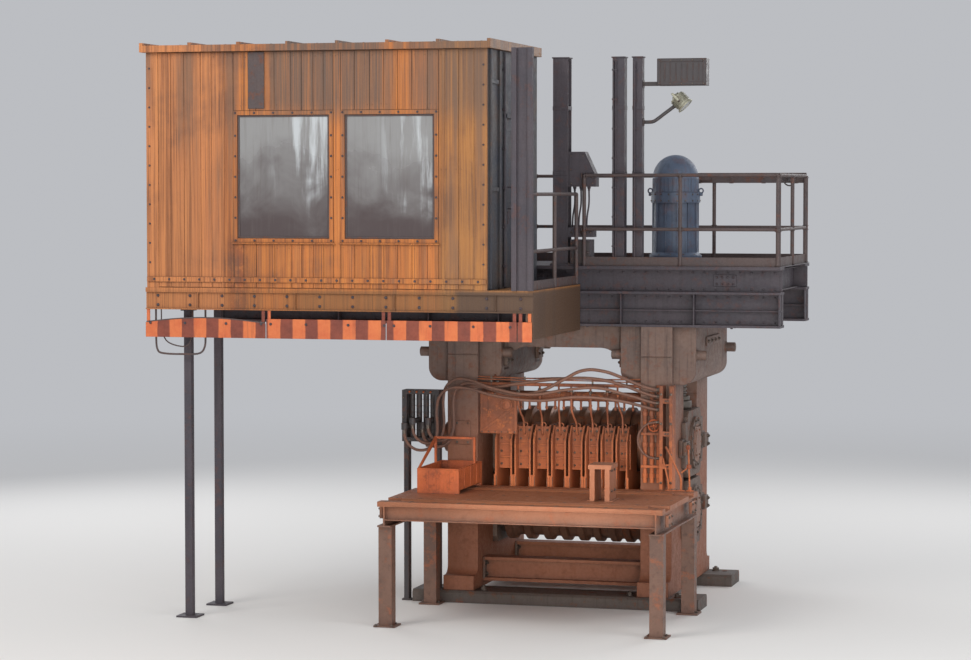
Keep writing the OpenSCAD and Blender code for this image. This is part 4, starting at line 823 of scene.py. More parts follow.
def make_drive():
    """Bolts, fins, sight glasses and lifting eyes of the motors and gearboxes, and the shaft couplings."""
    bolts, dark, metal = Form(), Form(), Form()
    shaft = centre_of("cross_shaft")
    back = box["screw_motor_right"][1].y
    for side in BOTH:
        x = side * HOUSING_X
        bolts.bolts(about(x, 0.345), (-0.38, -0.13, 0.13, 0.38), CROWN_Z + 0.05, UP, 0.06)
        bolts.bolt_circle((x, 0, DECK_Z + 0.11), UP, 0.309, 12, 0.03)
        bolts.bolt_circle((x, 0, DECK_Z + 0.06), UP, 0.341, 12, 0.016, 0.26, False)
        for (c, s), z in product(around(18, math.pi / 36), (4.985, 5.065)):
            bolts.bolt((x + 0.307 * c, 0.307 * s, z), (c, s, 0), 0.018, False)
        for c, s in around(36, math.pi / 36):
            dark.bar((x + 0.287 * c, 0.287 * s, 5.10), (x + 0.287 * c, 0.287 * s, 5.255), 0.009, 0.012, 0.002)
        dark.ring((x, 0, 5.095), UP, 0.288, 0.007, 40, 6)
        dark.ring((x, 0, 5.262), UP, 0.287, 0.006, 40, 6)
        for eye in about(x, 0.325):
            metal.ring((eye, 0, 5.11), BACK, 0.028, 0.009, 20, 8)
            metal.block(about(eye, 0.02), (-0.014, 0.014), (5.045, 5.085))
        bolts.bolts(about(x, 0.09), back, (4.54, 4.78), BACK, 0.016, False)
        dark.block(about(x, 0.1), (back, back + 0.006), (4.55, 4.77), 0.003)
        metal.lathe([(0.024, 0), (0.024, 0.03), (0.017, 0.035), (0.017, 0.06)],
                    (x - 0.05, back - 0.07, 4.512), DOWN, 12)
        for sx in BOTH:
            bolts.bolt_circle((x + sx * 0.3505, shaft.y, shaft.z), (sx, 0, 0), 0.165, 8, 0.028)
            metal.lathe([(0.012, 0), (0.022, 0.004), (0.022, 0.02), (0.01, 0.026)],
                        (x + sx * 0.14, -0.331, 3.78), FRONT, 16)
        metal.lathe([(0.03, 0), (0.03, 0.03), (0.045, 0.035), (0.045, 0.06), (0.03, 0.07)],
                    (x + 0.2, 0.2, 4.007), UP, 16)
        for (c, s), reach in product(around(8), (0.41, 0.50)):
            bolts.lathe([(0.012, 0), (0.012, 0.012), (0.009, 0.015)],
                        (x - side * reach, shaft.y + 0.104 * c, shaft.z + 0.104 * s), (0, c, s), 8)
    bolts.make("drive_bolts", "screw_steel")
    dark.make("motor_fins", "drive_paint")
    metal.make("drive_fittings", "drive_paint")


def make_screws():
    """The two screws with their threads, standing for the plain solids."""
    low, high = box["screws"]
    shoulder, start = low.z + 0.11, low.z + 0.17
    pitch, sides = 0.048, 32
    rows = int((high.z - start) / pitch * 8)
    for side, name in ((-1, "screw_left"), (1, "screw_right")):
        form = Form()
        x = side * HOUSING_X
        form.rod((x, 0, low.z), (x, 0, shoulder), 0.21, 48, 0.008)
        form.rod((x, 0, shoulder), (x, 0, start), 0.185, 48, 0.008)
        points = []
        for z in spread(start, high.z, rows + 1):
            for k, (c, s) in enumerate(around(sides)):
                phase = (z / pitch + k / sides) % 1
                rise = min(1.0, max(0.0, 2.2 - abs(phase - 0.5) * 6.4)) if 0.1 < phase < 0.9 else 0.0
                radius = 0.134 + 0.0155 * rise
                points.append((x + radius * c, radius * s, z))
        form.add(points, tube_faces(rows + 1, sides))
        piece = form.make(name, "screw_steel", sharp=50)
        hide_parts("screws")


def make_platform():
    """Rivets and joints of the girders, foot plates and couplings of the rails, laps of the deck plates."""
    rivets, bolts, steel, rails = Form(), Form(), Form(), Form()
    dome = [(0.014, 0), (0.0125, 0.006), (0.006, 0.010)]
    for node, side in (("girder_front", -1), ("girder_back", 1)):
        low, high = box[node]
        y = centre_of(node).y
        face, cover, out = y + side * 0.009, y + side * 0.021, (0, side, 0)
        pitch = 0.145
        rivet_xs = row(low.x + 0.06, pitch, math.ceil((high.x - low.x - 0.09) / pitch))
        for x, z in product(rivet_xs, (low.z + 0.065, low.z + 0.365, low.z + 0.465, high.z - 0.065)):
            rivets.lathe(dome, (x, face, z), out, 8)
        for x in (low.x + 1.9, low.x + 4.3, high.x - 0.7):
            steel.block(about(x, 0.14), (face, cover), (low.z + 0.50, high.z - 0.09), 0.003)
            bolts.bolts((x - 0.1, x - 0.035, x + 0.035, x + 0.1), cover,
                        (low.z + 0.53, high.z - 0.12), out, 0.026)
        bolts.bolts(row(low.x + 0.35, 0.9, 8), about(y, 0.11), low.z, DOWN, 0.03, False)
    low, high = box["deck"]
    lap_z = DECK_Z + 0.006
    for x in row(low.x + 1.21, 1.21, 5):
        steel.block(about(x, 0.03), (low.y + 0.11, high.y - 0.11), (DECK_Z, lap_z), 0.002)
        for y in spread(low.y + 0.18, high.y - 0.18, 9):
            rivets.lathe(dome, (x - 0.015, y, lap_z), UP, 8)
    posts = [(x, low.y + 0.04) for x in row(0.31, 1.2, 3)]
    posts += [(x, high.y - 0.04) for x in row(low.x + 0.04, 7.17 / 6, 7)]
    for x, y in posts:
        for joint, h in product(about(x, 0.03), (0.45, 1.11)):
            if -4.45 < joint < 2.70:
                rails.ring((joint, y, DECK_Z + h), RIGHT, 0.0245, 0.005, 14, 6)
    for x, y in posts + [(2.71, -1.03), (2.71, 0.0), (2.71, 1.03)]:
        rails.ring((x, y, DECK_Z + 0.011), UP, 0.027, 0.006, 16, 6)
        for h in (0.426, 0.474, 1.086):
            rails.ring((x, y, DECK_Z + h), UP, 0.0275, 0.006, 16, 6)
    bolts.make("platform_bolts", "platform_paint")
    rivets.make("platform_rivets", "platform_paint")
    steel.make("platform_plates", "platform_paint")
    rails.make("railing_joints", "rail_paint")


def make_duct():
    """Straps of the cable duct along the back rail and the small hand valve at its end."""
    front, back, low, high = 1.065, 1.155, 5.21, 5.34
    straps, valve = Form(), Form()
    for x in row(0.88, 0.42, 5):
        straps.block((x, x + 0.04), (front - 0.006, back + 0.003), (low - 0.006, high), 0.002)
        straps.bolt((x + 0.02, front - 0.006, low + 0.065), FRONT, 0.02, False)
    straps.block((1.26, 1.48), (front - 0.03, front + 0.001), (low + 0.03, high - 0.02))
    centre = Vector((2.52, 1.02, 5.25))
    valve.lathe([(0.014, 0), (0.014, 0.06), (0.02, 0.064), (0.02, 0.075)], centre, FRONT, 12)
    valve.hand_wheel(centre - Vector((0, 0.068, 0)), 0.075, 0.009, 0.006, 0.4)
    valve.lathe([(0.03, 0), (0.034, 0.006), (0.034, 0.04), (0.024, 0.047)],
                centre + Vector((0, 0.047, 0)), FRONT, 16)
    straps.make("duct_straps", "rail_paint")
    valve.make("duct_valve", "valve_paint")


SERVICE_Y = -0.98


def make_columns():
    """Foot bolts, brackets and conduits of the columns; the door, cover and cables of the boxes on them."""
    bolts, steel, dark = Form(), Form(), Form()
    y = SERVICE_Y
    for x, half in ((0.0, 0.095), (0.725, 0.075), (0.96, 0.06)):
        bolts.bolts(about(x, half + 0.014), about(y, half + 0.014), DECK_Z + 0.02, UP, 0.022)
        for z, thick, lap in ((5.3, 0.05, 0.004), (6.1, 0.05, 0.004), (6.735, 0.016, 0.012)):
            steel.block(about(x, half + lap), about(y, half + lap), (z, z + thick), 0.003)
    for x in (0.665, 0.695, 0.93):
        steel.sweep([(x, y - 0.087, 4.22), (x, y - 0.087, 6.70)], 0.011, 10)
        for z in row(4.42, 0.36, 7):
            steel.block(about(x, 0.018), (y - 0.099, y - 0.060), (z, z + 0.02), 0.002)
    # cabinet door with hinges and lock, on the low grey box
    left, front = 0.1253, y - 0.10
    dark.block((left + 0.015, left + 0.245), (front - 0.008, front + 0.0005), (DECK_Z + 0.02, DECK_Z + 0.30))
    for z in (DECK_Z + 0.06, DECK_Z + 0.24):
        dark.rod((left + 0.013, front - 0.006, z), (left + 0.013, front - 0.006, z + 0.04), 0.007, 10)
    dark.lathe([(0.016, 0), (0.016, 0.006), (0.008, 0.01), (0.008, 0.016)],
               (left + 0.22, front - 0.008, DECK_Z + 0.16), FRONT, 14)
    # cover of the sloped box, and the cables that leave it
    left, foot = 0.095, 5.16
    steel.plate([(0.02, 0.02), (0.33, 0.02), (0.33, 0.125), (0.205, 0.40), (0.02, 0.40)],
                (left, y - 0.09, foot), 0.007)
    for dx, dz in ((0.04, 0.04), (0.31, 0.04), (0.31, 0.115), (0.19, 0.38), (0.04, 0.38), (0.04, 0.21)):
        bolts.bolt((left + dx, y - 0.097, foot + dz), FRONT, 0.016, False)
    for x in (0.16, 0.24, 0.34):
        steel.lathe([(0.022, 0), (0.022, 0.02), (0.015, 0.026), (0.015, 0.05)], (x, y, foot), DOWN, 12)
        steel.pipe([(x, y, 5.115), (x, y, 4.95), (x - 0.02, y - 0.01, 4.8), (x - 0.03, y, 4.66)], 0.011, 8)
    bolts.bolts((0.14, 0.26, 0.38), y - 0.09, 4.60, FRONT, 0.022)
    bolts.make("column_bolts", "screw_steel")
    steel.make("column_fittings", "platform_paint")
    dark.make("cabinet_door", "valve_paint")


def make_lamp():
    """The pale lamp on its bent arm and the dark case above it, standing for the plain solids."""
    y = SERVICE_Y
    case, bolts, lamp, lens = Form(), Form(), Form(), Form()
    left, right, low, high, front = 1.21, 1.82, 6.39, 6.72, y - 0.10
    case.block((left, right), about(y, 0.10), (low, high), 0.006)
    case.block((1.02, left + 0.0005), about(y, 0.025), (low, low + 0.05), 0.003)
    case.block((1.0205, 1.03), about(y, 0.045), (low - 0.02, low + 0.07), 0.003)
    case.frame((left + 0.006, right - 0.006), (front - 0.008, front + 0.0005),
               (low + 0.006, high - 0.006), 0.035)
    for x in row(left + 0.09, 0.07, 7):
        case.block((x, x + 0.012), (front - 0.006, front + 0.0005), (low + 0.06, high - 0.06), 0.002)
    bolts.bolts(row(left + 0.03, 0.1375, 5), front - 0.008, (low + 0.023, high - 0.023), FRONT, 0.016, False)
    arm = ((1.0205, 5.95), (1.10, 5.95), (1.15, 5.958), (1.20, 5.988), (1.30, 6.062), (1.49, 6.20))
    case.pipe([(x, y, z) for x, z in arm], 0.022, 16, 5)
    case.lathe([(0.05, 0), (0.05, 0.010), (0.03, 0.014)], (1.0205, y, 5.95), RIGHT, 20)
    tip = Vector((1.49, y, 6.20))
    aim = Vector((1, 0, -1)).normalized()
    lamp.lathe([(0.02, -0.11), (0.05, -0.105), (0.055, -0.085), (0.088, -0.082), (0.095, -0.072),
                (0.095, 0.062), (0.104, 0.066), (0.110, 0.070), (0.110, 0.083), (0.104, 0.086), (0.09, 0.086),
                (0.088, 0.078)], tip, aim, 40)
    for d in row(-0.062, 0.018, 6):
        lamp.lathe([(0.094, d), (0.104, d + 0.001), (0.104, d + 0.005), (0.094, d + 0.006)], tip, aim, 40)
    for side in BOTH:
        arm = tip + Vector((0, side * 0.112, 0))
        lamp.bar(arm - aim * 0.13, arm + aim * 0.02, 0.006, 0.03, 0.002)
        bolts.bolt(tip + Vector((0, side * 0.115, 0)), (0, side, 0), 0.024)
    yoke, half = tip - aim * 0.127, Vector((0, 0.115, 0))
    lamp.bar(yoke - half, yoke + half, 0.03, 0.006, 0.002)
    lens.lathe([(0.089, 0.079), (0.07, 0.084), (0.03, 0.087), (0.005, 0.088)], tip, aim, 32)
    for piece in (lamp.make("floodlight_lamp", "lamp_metal"), case.make("floodlight_case", "valve_paint"),
                  lens.make("floodlight_lens", "cab_glazing")):
        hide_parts("floodlight")
    bolts.make("floodlight_bolts", "screw_steel")


# Stand

# Per tie: distances of joint and flange from the housing's middle, y, half width, heights of the joint,
# heights of its bolts, half their distance, their size
TIE_JOINTS = ((0.47, 0.515, 0.79, 0.13, (2.93, 3.435), (2.99, 3.13, 3.27, 3.39), 0.085, 0.04),
              (0.195, 0.225, 0.8, 0.125, (0.245, 0.515), (0.30, 0.44), 0.08, 0.05))


def make_housings():
    """Anchor bolts with nuts, liner screws, tie bolts, crown eyes and the keepers that hold the chocks."""
    bolts, cast, steel = Form(), Form(), Form()
    for side, sy in product(BOTH, BOTH):
        x = side * HOUSING_X
        bolts.bolts(about(x, 0.30), sy * 1.25, 0.15, UP, 0.085)
        # rings at the trunnions and their end caps
        for end in BOTH:
            steel.lathe([(0.052, 0), (0.052, 0.0), (0.047, 0.006), (0.02, 0.008)],
                        (x + end * 0.59, sy * 0.98, 3.097), (end, 0, 0), 24)
            steel.ring((x + end * 0.472, sy * 0.98, 3.097), RIGHT, 0.066, 0.010, 28, 8)
        for joint, flange, y, half, heights, rows, apart, size in TIE_JOINTS:
            steel.block((x - side * joint, x - side * flange), about(sy * y, half), heights, 0.005)
            bolts.bolts(x - side * flange, about(sy * y, apart), rows, (-side, 0, 0), size)
        for dx, z in product((-0.12, 0.12), row(0.75, 0.205, 9)):
            bolts.lathe([(0.018, 0), (0.018, 0.003), (0.010, 0.0045)], (x + dx, sy * 0.43, z),
                        (0, -sy, 0), 10)
        # cast pads on the posts
        cast.block(about(x, 0.10), (sy * 1.1505, sy * 1.1645), (1.95, 2.25), 0.006)
        bolts.bolts(about(x, 0.07), sy * 1.1645, (1.98, 2.22), (0, sy, 0), 0.026, False)
    # keepers on the outer faces of the right posts, over the ears of the chocks
    x = HOUSING_X
    for sy, z in product(BOTH, (1.12, 1.92)):
        steel.block((x + 0.196, x + 0.245), about(sy * 0.665, 0.075), about(z, 0.11), 0.006)
        steel.block((x + 0.2505, x + 0.295), (sy * 0.50, sy * 0.74), about(z, 0.085), 0.006)
        bolts.bolts(x + 0.295, sy * 0.665, about(z, 0.05), RIGHT, 0.046)
    # pads on the outer sides of the crowns
    for side in BOTH:
        outer = side * (HOUSING_X + 0.47)
        pad = side * (HOUSING_X + 0.49)
        cast.block((outer, pad), (-0.42, 0.42), (3.18, 3.30), 0.008)
        bolts.bolts(pad, (-0.36, -0.12, 0.12, 0.36), 3.24, (side, 0, 0), 0.04)
    bolts.make("housing_bolts", "screw_steel")
    cast.make("housing_pads", "cast_frame")
    steel.make("housing_plates", "chock_steel")


def make_chocks():
    """Cover bolts, grease nipples and rings of the four chocks; end covers of the rolls' operator side."""
    bolts, steel = Form(), Form()
    for level, hand in product(("bottom", "top"), ("left", "right")):
        low, high = box[level + "_chock_" + hand]
        z = centre_of(level + "_roll").z
        for x, way in ((low.x, -1), (high.x, 1)):
            bolts.bolt_circle((x, 0, z), (way, 0, 0), 0.288, 12, 0.034, math.pi / 12)
            steel.ring((x, 0, z), RIGHT, 0.327, 0.006, 48, 6)
            steel.ring((x + way * 0.002, 0, z), RIGHT, 0.247, 0.005, 40, 6)
        out, way = (high.x, RIGHT) if hand == "right" else (low.x, LEFT)
        for y in (-0.06, 0.06):
            steel.lathe([(0.011, 0), (0.011, 0.012), (0.006, 0.016), (0.006, 0.026), (0.009, 0.03),
                         (0.004, 0.036)], (out, y, z + (0.21 if level == "top" else -0.21)), way, 10)
    bolts.make("chock_bolts", "screw_steel")
    steel.make("chock_rings", "chock_steel")
    for roll in ("bottom_roll", "top_roll"):
        x, z = box[roll][1].x, centre_of(roll).z
        form = Form()
        form.lathe([(0.20, 0), (0.20, 0.004), (0.15, 0.010), (0.15, 0.014), (0.05, 0.016)],
                   (x, 0, z), RIGHT, 40)
        form.bolt_circle((x + 0.004, 0, z), RIGHT, 0.178, 6, 0.026)
        form.make(roll + "_end", "roll_iron", roll)


BARREL = 1.8
PASS_W = row(0.17, -0.01, 8)
COLLAR_W = (BARREL - sum(PASS_W)) / 9
PASS_X = [-BARREL / 2 + COLLAR_W * (i + 1) + sum(PASS_W[:i]) + PASS_W[i] / 2 for i in range(8)]


def make_guides():
    """Clamps, stiffeners, wear strips and bolts of all guide boxes, and the rest bars' T-bolts."""
    bolts, plates, wear = Form(), Form(), Form()
    for sy in BOTH:
        out = (0, sy, 0)
        for x, width in zip(PASS_X, PASS_W):
            half = width / 2 + 0.024
            plates.tone = rng.uniform(0.2, 0.9)
            for sx in BOTH:
                # thickened edge and foot of each side plate
                face = x + sx * half
                plates.bar((face, sy * 1.028, 1.375), (face, sy * 1.028, 1.578), 0.030, 0.022)
                plates.bar((face, sy * 0.893, 1.66), (face, sy * 0.893, 2.10), 0.026, 0.024)
                bolts.bolts(face + sx * 0.0005, sy * 0.98, (1.43, 1.53), (sx, 0, 0), 0.022, False)
                wear.block(about(face - sx * 0.020, 0.0045), (sy * 1.041, sy * 1.052), (1.40, 1.56), 0.002)
            bolts.bolts(about(x, half - 0.05), sy * 0.90, (1.70, 1.86, 2.02, 2.13), out, 0.024)
            for z in (1.775, 1.94):
                plates.block(about(x, half - 0.035), (sy * 0.9005, sy * 0.909), (z, z + 0.025), 0.003)
            plates.ring((x, sy * 0.885, 2.195), BACK, 0.028, 0.008, 18, 8)
            # clamp on the rest bar under the box
            plates.block(about(x, 0.05), (sy * 1.0005, sy * 1.03), (1.20, 1.355), 0.005)
            bolts.bolt((x, sy * 1.03, 1.30), out, 0.038)
            bolts.bolt((x, sy * 1.03, 1.235), out, 0.03)
        bolts.bolts([(a + b) / 2 for a, b in zip(PASS_X, PASS_X[1:])], sy * 0.95, 1.367, UP, 0.036)
    bolts.make("guide_bolts", "screw_steel")
    plates.make("guide_stiffeners", "guide_rust")
    wear.make("guide_wear_strips", "roll_iron")


def make_water():
    """Flange bolts and nozzle tips of the header, stiffeners and handle of the splash guard."""
    bolts, metal = Form(), Form()
    y, z = centre_of("water_header").y, 2.5595
    for side in BOTH:
        bolts.bolt_circle((side * (box["water_header"][1].x - 0.030), y, z), (-side, 0, 0), 0.078, 6, 0.02)
    for x in row(-0.88, 0.11, 17):
        metal.lathe([(0.019, 0), (0.019, 0.02), (0.012, 0.028), (0.012, 0.036)], (x, y, z - 0.135), DOWN, 8)
        metal.ring((x, y, z - 0.062), UP, 0.017, 0.004, 12, 6)
    low, high = box["splash_guard"]
    face = -1.056
    metal.frame((low.x + 0.006, high.x - 0.006), (face - 0.010, face), (low.z + 0.006, high.z - 0.006), 0.03)
    metal.bar((low.x + 0.04, face - 0.005, low.z + 0.04), (high.x - 0.04, face - 0.005, high.z - 0.19), 0.010,
              0.026, 0.002)
    knob = (high.x - 0.13, face - 0.04, high.z - 0.16)
    metal.ring(knob, BACK, 0.071, 0.006, 30, 6)
    metal.lathe([(0.05, 0), (0.05, 0.006), (0.02, 0.014), (0.02, 0.03), (0.012, 0.034)], knob, FRONT, 24)
    bolts.bolts(row(low.x + 0.03, 0.084, 6), face - 0.010, (low.z + 0.021, high.z - 0.021), FRONT,
                0.016, False)
    bolts.make("water_bolts", "screw_steel")
    metal.make("guard_ribs", "guide_rust")


def make_guide_water():
    """Branch pipe above the guide boxes, a valve and a bent pipe to each box, the grease lines over it."""
    pipes, valves = Form(), Form()
    end, y, z = 1.0347, -1.14, 2.715
    inlet_y, inlet_z = -0.9003, 2.078
    pipes.rod((-end, y, z), (end, y, z), 0.021, 18)
    for side in BOTH:
        pipes.lathe([(0.05, 0), (0.05, 0.012), (0.027, 0.016), (0.027, 0.035)], (side * end, y, z),
                    (-side, 0, 0), 20)
        valves.bolt_circle((side * (end - 0.012), y, z), (-side, 0, 0), 0.038, 4, 0.012, 0.4)
    # the guard hides the first box, which is fed from behind
    for i, x in list(enumerate(PASS_X))[1:]:
        start = x + (0.030, -0.028, 0.012)[i % 3]
        knee = 2.37 + 0.03 * (i * 5 % 4)
        valve_z = z - 0.085 - 0.02 * (i % 2)
        pipes.pipe([(start, y, z - 0.015), (start, y, z - 0.12), (start, y + 0.01, knee + 0.06),
                    ((start + x) / 2, y + 0.06, knee - 0.04), (x, -0.985, knee - 0.14), (x, -0.962, 2.14),
                    (x, -0.94, 2.092), (x, inlet_y, inlet_z)], 0.0125, 12)
        pipes.lathe([(0.030, 0), (0.030, 0.006), (0.019, 0.010)], (x, inlet_y, inlet_z), FRONT, 16)
        pipes.lathe([(0.014, 0), (0.018, 0.003), (0.018, 0.025), (0.014, 0.028)],
                    (start, y + 0.012, knee + 0.05), UP, 8)
        valves.lathe([(0.014, 0), (0.023, 0.004), (0.023, 0.036), (0.014, 0.040)], (start, y, valve_z), UP, 8)
        valves.lathe([(0.011, 0.015), (0.011, 0.034), (0.006, 0.038), (0.006, 0.052)],
                     (start, y, valve_z + 0.02), FRONT, 12)
        turn = 0.5 + 0.9 * (i % 4)
        pivot = Vector((start, y - 0.050, valve_z + 0.02))
        valves.bar(pivot, pivot + 0.055 * Vector((math.cos(turn), 0, -math.sin(turn))), 0.005, 0.013, 0.001)
    # two grease lines with their clips, and their ends behind the housings
    waves = (0.006, 0.0, -0.006, 0.008, 0.002, -0.004, 0.005)
    for k, tube_y, tube_z, radius in ((0, -1.128, 2.795, 0.009), (1, -1.166, 2.768, 0.007)):
        xs = spread(-end, end, 7)
        pipes.pipe([(x, tube_y, tube_z + waves[(j + 3 * k) % 7]) for j, x in enumerate(xs)], radius)
    for x in row(-0.86, 0.43, 5):
        valves.bar((x, -1.152, 2.732), (x, -1.152, 2.812), 0.022, 0.007, 0.001)
        valves.ring((x, y, z), RIGHT, 0.0225, 0.0035, 20, 6)
    for side in BOTH:
        pipes.pipe([(side * 0.80, -1.128, 2.795), (side * 0.84, -1.06, 2.822), (side * 0.91, -0.86, 2.79),
                    (side * 0.975, -0.62, 2.65), (side * 0.992, -0.50, 2.42),
                    (side * 0.992, -0.4305, 2.30)], 0.008)
        valves.lathe([(0.016, 0), (0.016, 0.012), (0.010, 0.016)], (side * 0.992, -0.4303, 2.30), FRONT, 6)
    pipes.make("guide_water_pipes", "guide_rust")
    valves.make("guide_water_valves", "screw_steel")


def make_valves():
    """Bonnets, spindles and levers over the four valves, bands around them, bolts of the two plates."""
    bolts, metal, levers = Form(), Form(), Form()
    y = -1.35
    for x in VALVE_X:
        metal.lathe([(0.036, 0), (0.036, 0.012), (0.028, 0.016)], (x, y, 2.6005), UP, 6)
        for z in (2.06, 2.14, 2.36, 2.44, 2.52):
            metal.ring((x, y, z), UP, 0.0345, 0.006, 20, 6)
        bolts.bolts(x, y - 0.1005, (2.02, 2.62), FRONT, 0.02)
        levers.lathe([(0.012, 0), (0.012, 0.028), (0.008, 0.032)], (x, y, 2.61), UP, 10)
        levers.bar((x, y - 0.02, 2.634), (x + 0.004, y - 0.13, 2.628), 0.016, 0.006, 0.002)
        levers.lathe([(0.004, 0), (0.011, 0.006), (0.012, 0.014), (0.006, 0.024)],
                     (x + 0.004, y - 0.128, 2.620), FRONT, 12)
    bolts.bolts((-1.915, -1.465), -1.45, (2.07, 2.30, 2.55), FRONT, 0.026)
    bolts.make("valve_bolts", "screw_steel")
    metal.make("valve_bands", "valve_paint")
    levers.make("valve_levers", "tray_paint")


def make_pipe_stand():
    """Saddles, couplings and the red hand wheel on the risers beside the right housing."""
    low, high = box["pipe_stand"]
    bolts, metal, wheel = Form(), Form(), Form()
    y, pitch = -1.1783, 0.085
    for i in range(3):
        x = PIPE_X - (i + 0.5) * pitch
        for z in (1.60, 1.98, 2.36):
            metal.lathe([(0.034, 0), (0.038, 0.004), (0.038, 0.052), (0.034, 0.056)], (x, y, z), UP, 6)
        metal.lathe([(0.033, 0), (0.033, 0.03), (0.026, 0.034)], (x, y, high.z - i * pitch - 0.036), UP, 16)
    bolts.bolts((1.33, 1.45), low.y, (1.56, 1.90, 2.28, 2.64), FRONT, 0.028)
    bolts.bolts((1.385, 1.415), low.y, (1.757, 2.157, 2.557), FRONT, 0.02)
    centre = Vector((1.225, -1.262, 2.25))
    wheel.lathe([(0.03, 0), (0.034, 0.01), (0.034, 0.03), (0.014, 0.036), (0.014, 0.07)],
                centre + Vector((0, 0.056, 0)), FRONT, 20)
    wheel.hand_wheel(centre - Vector((0, 0.006, 0)), 0.07, 0.010, 0.0065, 0.3)
    # bent stay rods and the upright lever between the pipe plate and the apron
    top = APRON_TOP
    foot = (1.71, -1.46, top + 0.0003)
    metal.pipe([(1.39, -1.352, 2.0), (1.43, -1.39, 1.95), (1.56, -1.455, 1.72), (1.60, -1.46, 1.62),
                (1.60, -1.46, top + 0.006)], 0.012)
    metal.pipe([(1.36, -1.352, 1.86), (1.38, -1.40, 1.80), (1.44, -1.47, 1.62),
                (1.45, -1.47, top + 0.006)], 0.010)
    metal.block((1.41, 1.65), (-1.50, -1.44), (top + 0.0003, top + 0.010), 0.003)
    bolts.bolts((1.49, 1.55), -1.47, top + 0.010, UP, 0.022)
    metal.rod(foot, (1.69, -1.46, 2.02), 0.011, 12)
    metal.lathe([(0.05, 0), (0.05, 0.008), (0.022, 0.014), (0.022, 0.05)], foot, UP, 20)
    wheel.lathe([(0.012, 0), (0.024, 0.008), (0.027, 0.03), (0.024, 0.052), (0.012, 0.06)],
                (1.69, -1.46, 1.98), UP, 16)
    wheel.lathe([(0.012, 0), (0.03, 0.004), (0.03, 0.05), (0.012, 0.054)], (1.6995, -1.46, 1.75), UP, 16)
    metal.rod((1.7005, -1.46, 1.775), (1.605, -1.46, 1.70), 0.008, 10)
    bolts.make("pipe_bolts", "screw_steel")
    metal.make("pipe_couplings", "guide_rust")
    wheel.make("pipe_hand_wheel", "tray_paint")


# Apron

def make_apron():
    """Countersunk bolts and welded laps of the plates, bearing caps, foot gussets and portal fastenings."""
    bolts, steel = Form(), Form()
    top = APRON_TOP
    x0, x1 = (corner.x for corner in box["apron_plates"])
    screw_rows = (-1.48, -1.655, -2.005, -2.53, -3.055, -3.405, -3.50)
    for x, y in product(spread(x0 + 0.10, x1 - 0.10, 12), screw_rows):
        bolts.lathe([(0.021, 0), (0.021, 0.0015), (0.015, 0.0025), (0.006, 0.0028)], (x, y, top), UP, 12)
    for x, y in product((x0 + 1.12, x0 + 2.28), (-2.27, -2.80)):
        if not 0.7 < x < 1.1:
            steel.block(about(x, 0.0035), about(y, 0.25), (top, top + 0.002), 0.001)
    for side in BOTH:
        centre = 0.1 + side * 1.7
        for y in (-1.83, -3.23):
            steel.block(about(centre + side * 0.012, 0.02), about(y, 0.11), (1.26, 1.40), 0.006)
            bolts.bolts(centre + side * 0.032, about(y, 0.08), (1.285, 1.375), (side, 0, 0), 0.03)
        for y in (-3.45, -1.49):
            bolts.bolts(about(centre - side * 0.08, 0.10), about(y, 0.09), 0.02, UP, 0.03)
    for x in (0.80, 1.02):
        steel.block(about(x, 0.045), (-2.86, -2.49), (top + 0.0003, top + 0.012), 0.003)
    for side in BOTH:
        bolts.bolts(0.91 + side * 0.12, (-2.60, -2.75), (1.60, 1.84), (side, 0, 0), 0.03)
    bolts.make("apron_bolts", "screw_steel")
    steel.make("apron_caps", "apron_steel")


def make_tray_rim():
    """Rolled rim of the scale tray and the ribs under it."""
    tray = Form()
    left, right = (corner.x for corner in box["scale_tray"])
    front, back, rim = -2.5, -1.45, 1.77
    for y in (front + 0.0075, back - 0.0075):
        tray.rod((left + 0.005, y, rim), (right - 0.005, y, rim), 0.011, 10)
    for x in (left + 0.0075, right - 0.0075):
        tray.rod((x, front + 0.005, rim), (x, back - 0.005, rim), 0.011, 10)
    for x, y in product((left, right), row(-2.25, 0.28, 3)):
        tray.bar((x, y, 1.53), (x, y, 1.765), 0.010, 0.030, 0.002)
    for x in (left + 0.13, (left + right) / 2, right - 0.13):
        tray.bar((x, front, 1.53), (x, front, 1.765), 0.030, 0.010, 0.002)
    tray.make("tray_rim", "tray_paint")


def make_table_rollers():
    """Rims and end screws of the two table rollers."""
    for node, body in (("table_roller_near", "near_table_roller"), ("table_roller_far", "far_table_roller")):
        low, high = box[node]
        _, y, z = centre_of(node)
        form = Form()
        for x in (low.x + 0.17, high.x - 0.17):
            form.ring((x, y, z), RIGHT, 0.1215, 0.004, 40, 6)
        for (c, s), (x, way) in product(around(3), ((low.x, LEFT), (high.x, RIGHT))):
            form.lathe([(0.008, 0), (0.008, 0.003), (0.005, 0.005)], (x, y + 0.03 * c, z + 0.03 * s), way, 8)
        form.make(body + "_rims", "apron_steel", body)


# Stage and light

SKY = (0.93, 0.95, 1.0, 1)
SKY_POWER = 0.54


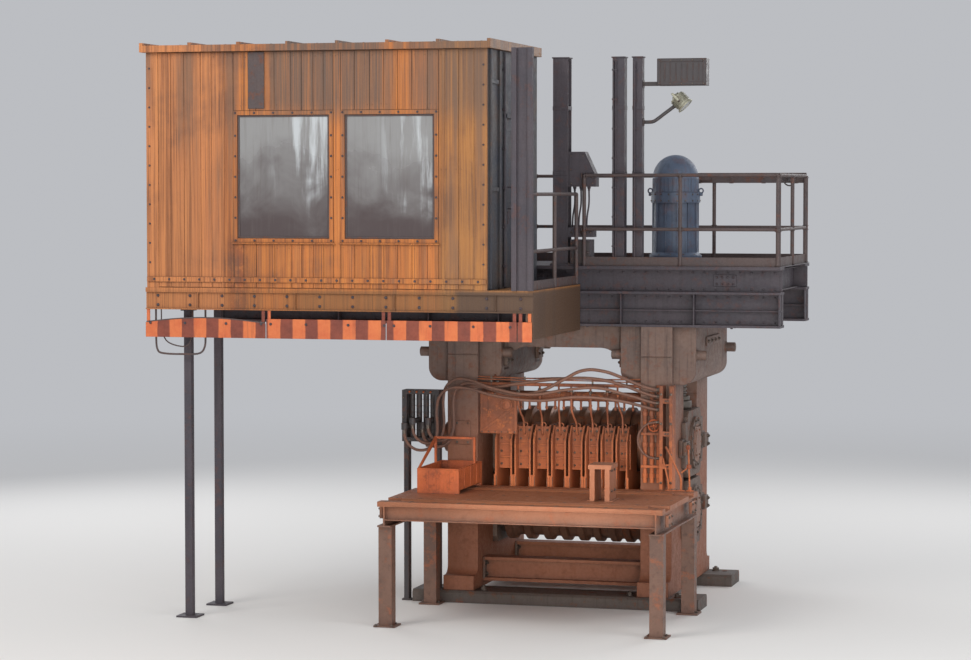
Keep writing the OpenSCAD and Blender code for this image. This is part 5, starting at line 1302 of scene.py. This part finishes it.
def make_stage():
    """Wide floor that takes on the background's colour far out, so that no horizon shows."""
    sides, reach = 96, 400
    mesh = bpy.data.meshes.new("floor")
    mesh.from_pydata([(reach * c, reach * s, 0) for c, s in around(sides)], [], [list(range(sides))])
    floor = place("floor", mesh, (0, 0, -0.001))
    n = Nodes("floor")
    n.shader.inputs["Base Color"].default_value = (0.80, 0.79, 0.77, 1)
    n.shader.inputs["Roughness"].default_value = 0.85
    distance = n.add("ShaderNodeVectorMath", operation="LENGTH")
    n.link(n.place, distance.inputs[0])
    haze = n.add("ShaderNodeEmission")
    haze.inputs["Color"].default_value = SKY
    haze.inputs["Strength"].default_value = SKY_POWER
    blend = n.add("ShaderNodeMixShader")
    n.link(n.ramp(distance.outputs["Value"], 8, 30), blend.inputs[0])
    n.link(n.shader.outputs[0], blend.inputs[1])
    n.link(haze.outputs[0], blend.inputs[2])
    n.link(blend.outputs[0], n.tree.nodes["Material Output"].inputs["Surface"])
    mesh.materials.append(n.material)


def area_light(name, at, aim, size, power, colour=(1, 1, 1)):
    data = bpy.data.lights.new(name, "AREA")
    data.shape = "RECTANGLE"
    data.size, data.size_y = size
    data.energy = power
    data.color = colour
    place(name, data, at, aim)


def spot_light(name, at, aim, angle, power, colour):
    data = bpy.data.lights.new(name, "SPOT")
    data.energy = power
    data.color = colour
    data.spot_size = math.radians(angle)
    data.spot_blend = 0.7
    data.shadow_soft_size = 0.6
    place(name, data, at, aim)


def make_light():
    world = bpy.data.worlds.new("studio")
    bpy.context.scene.world = world
    world.use_nodes = True
    background = world.node_tree.nodes["Background"]
    background.inputs["Color"].default_value = SKY
    background.inputs["Strength"].default_value = SKY_POWER
    centre = (-0.8, -1.0, 3.0)
    area_light("key", (-7, -13, 12), centre, (7, 7), 820, (1.0, 0.97, 0.93))
    area_light("fill", (12, -9, 7), centre, (8, 8), 420)
    area_light("low", (5.5, -15, 2.6), (0, -1, 1.8), (6, 2.2), 640, (1.0, 0.96, 0.91))
    spot_light("pass", (1.5, -14.0, 2.9), (0.1, -1.0, 1.85), 15, 3100, (1.0, 0.86, 0.72))
    area_light("back", (6, 12, 10), centre, (8, 8), 600)
    area_light("left_back", (-12, 8, 8), centre, (8, 8), 450)


make_camera()
materials = make_materials()
for make in (make_hoses, paint_nodes, make_cab_boards, make_cab_trim, make_cab_roof, make_cab_side,
             make_skirt, make_drive, make_screws, make_platform, make_duct, make_columns, make_lamp,
             make_housings, make_chocks, make_guides, make_water, make_guide_water, make_valves,
             make_pipe_stand, make_apron, make_tray_rim, make_table_rollers, make_stage, make_light):
    make()
bpy.context.scene.view_settings.view_transform = "Standard"
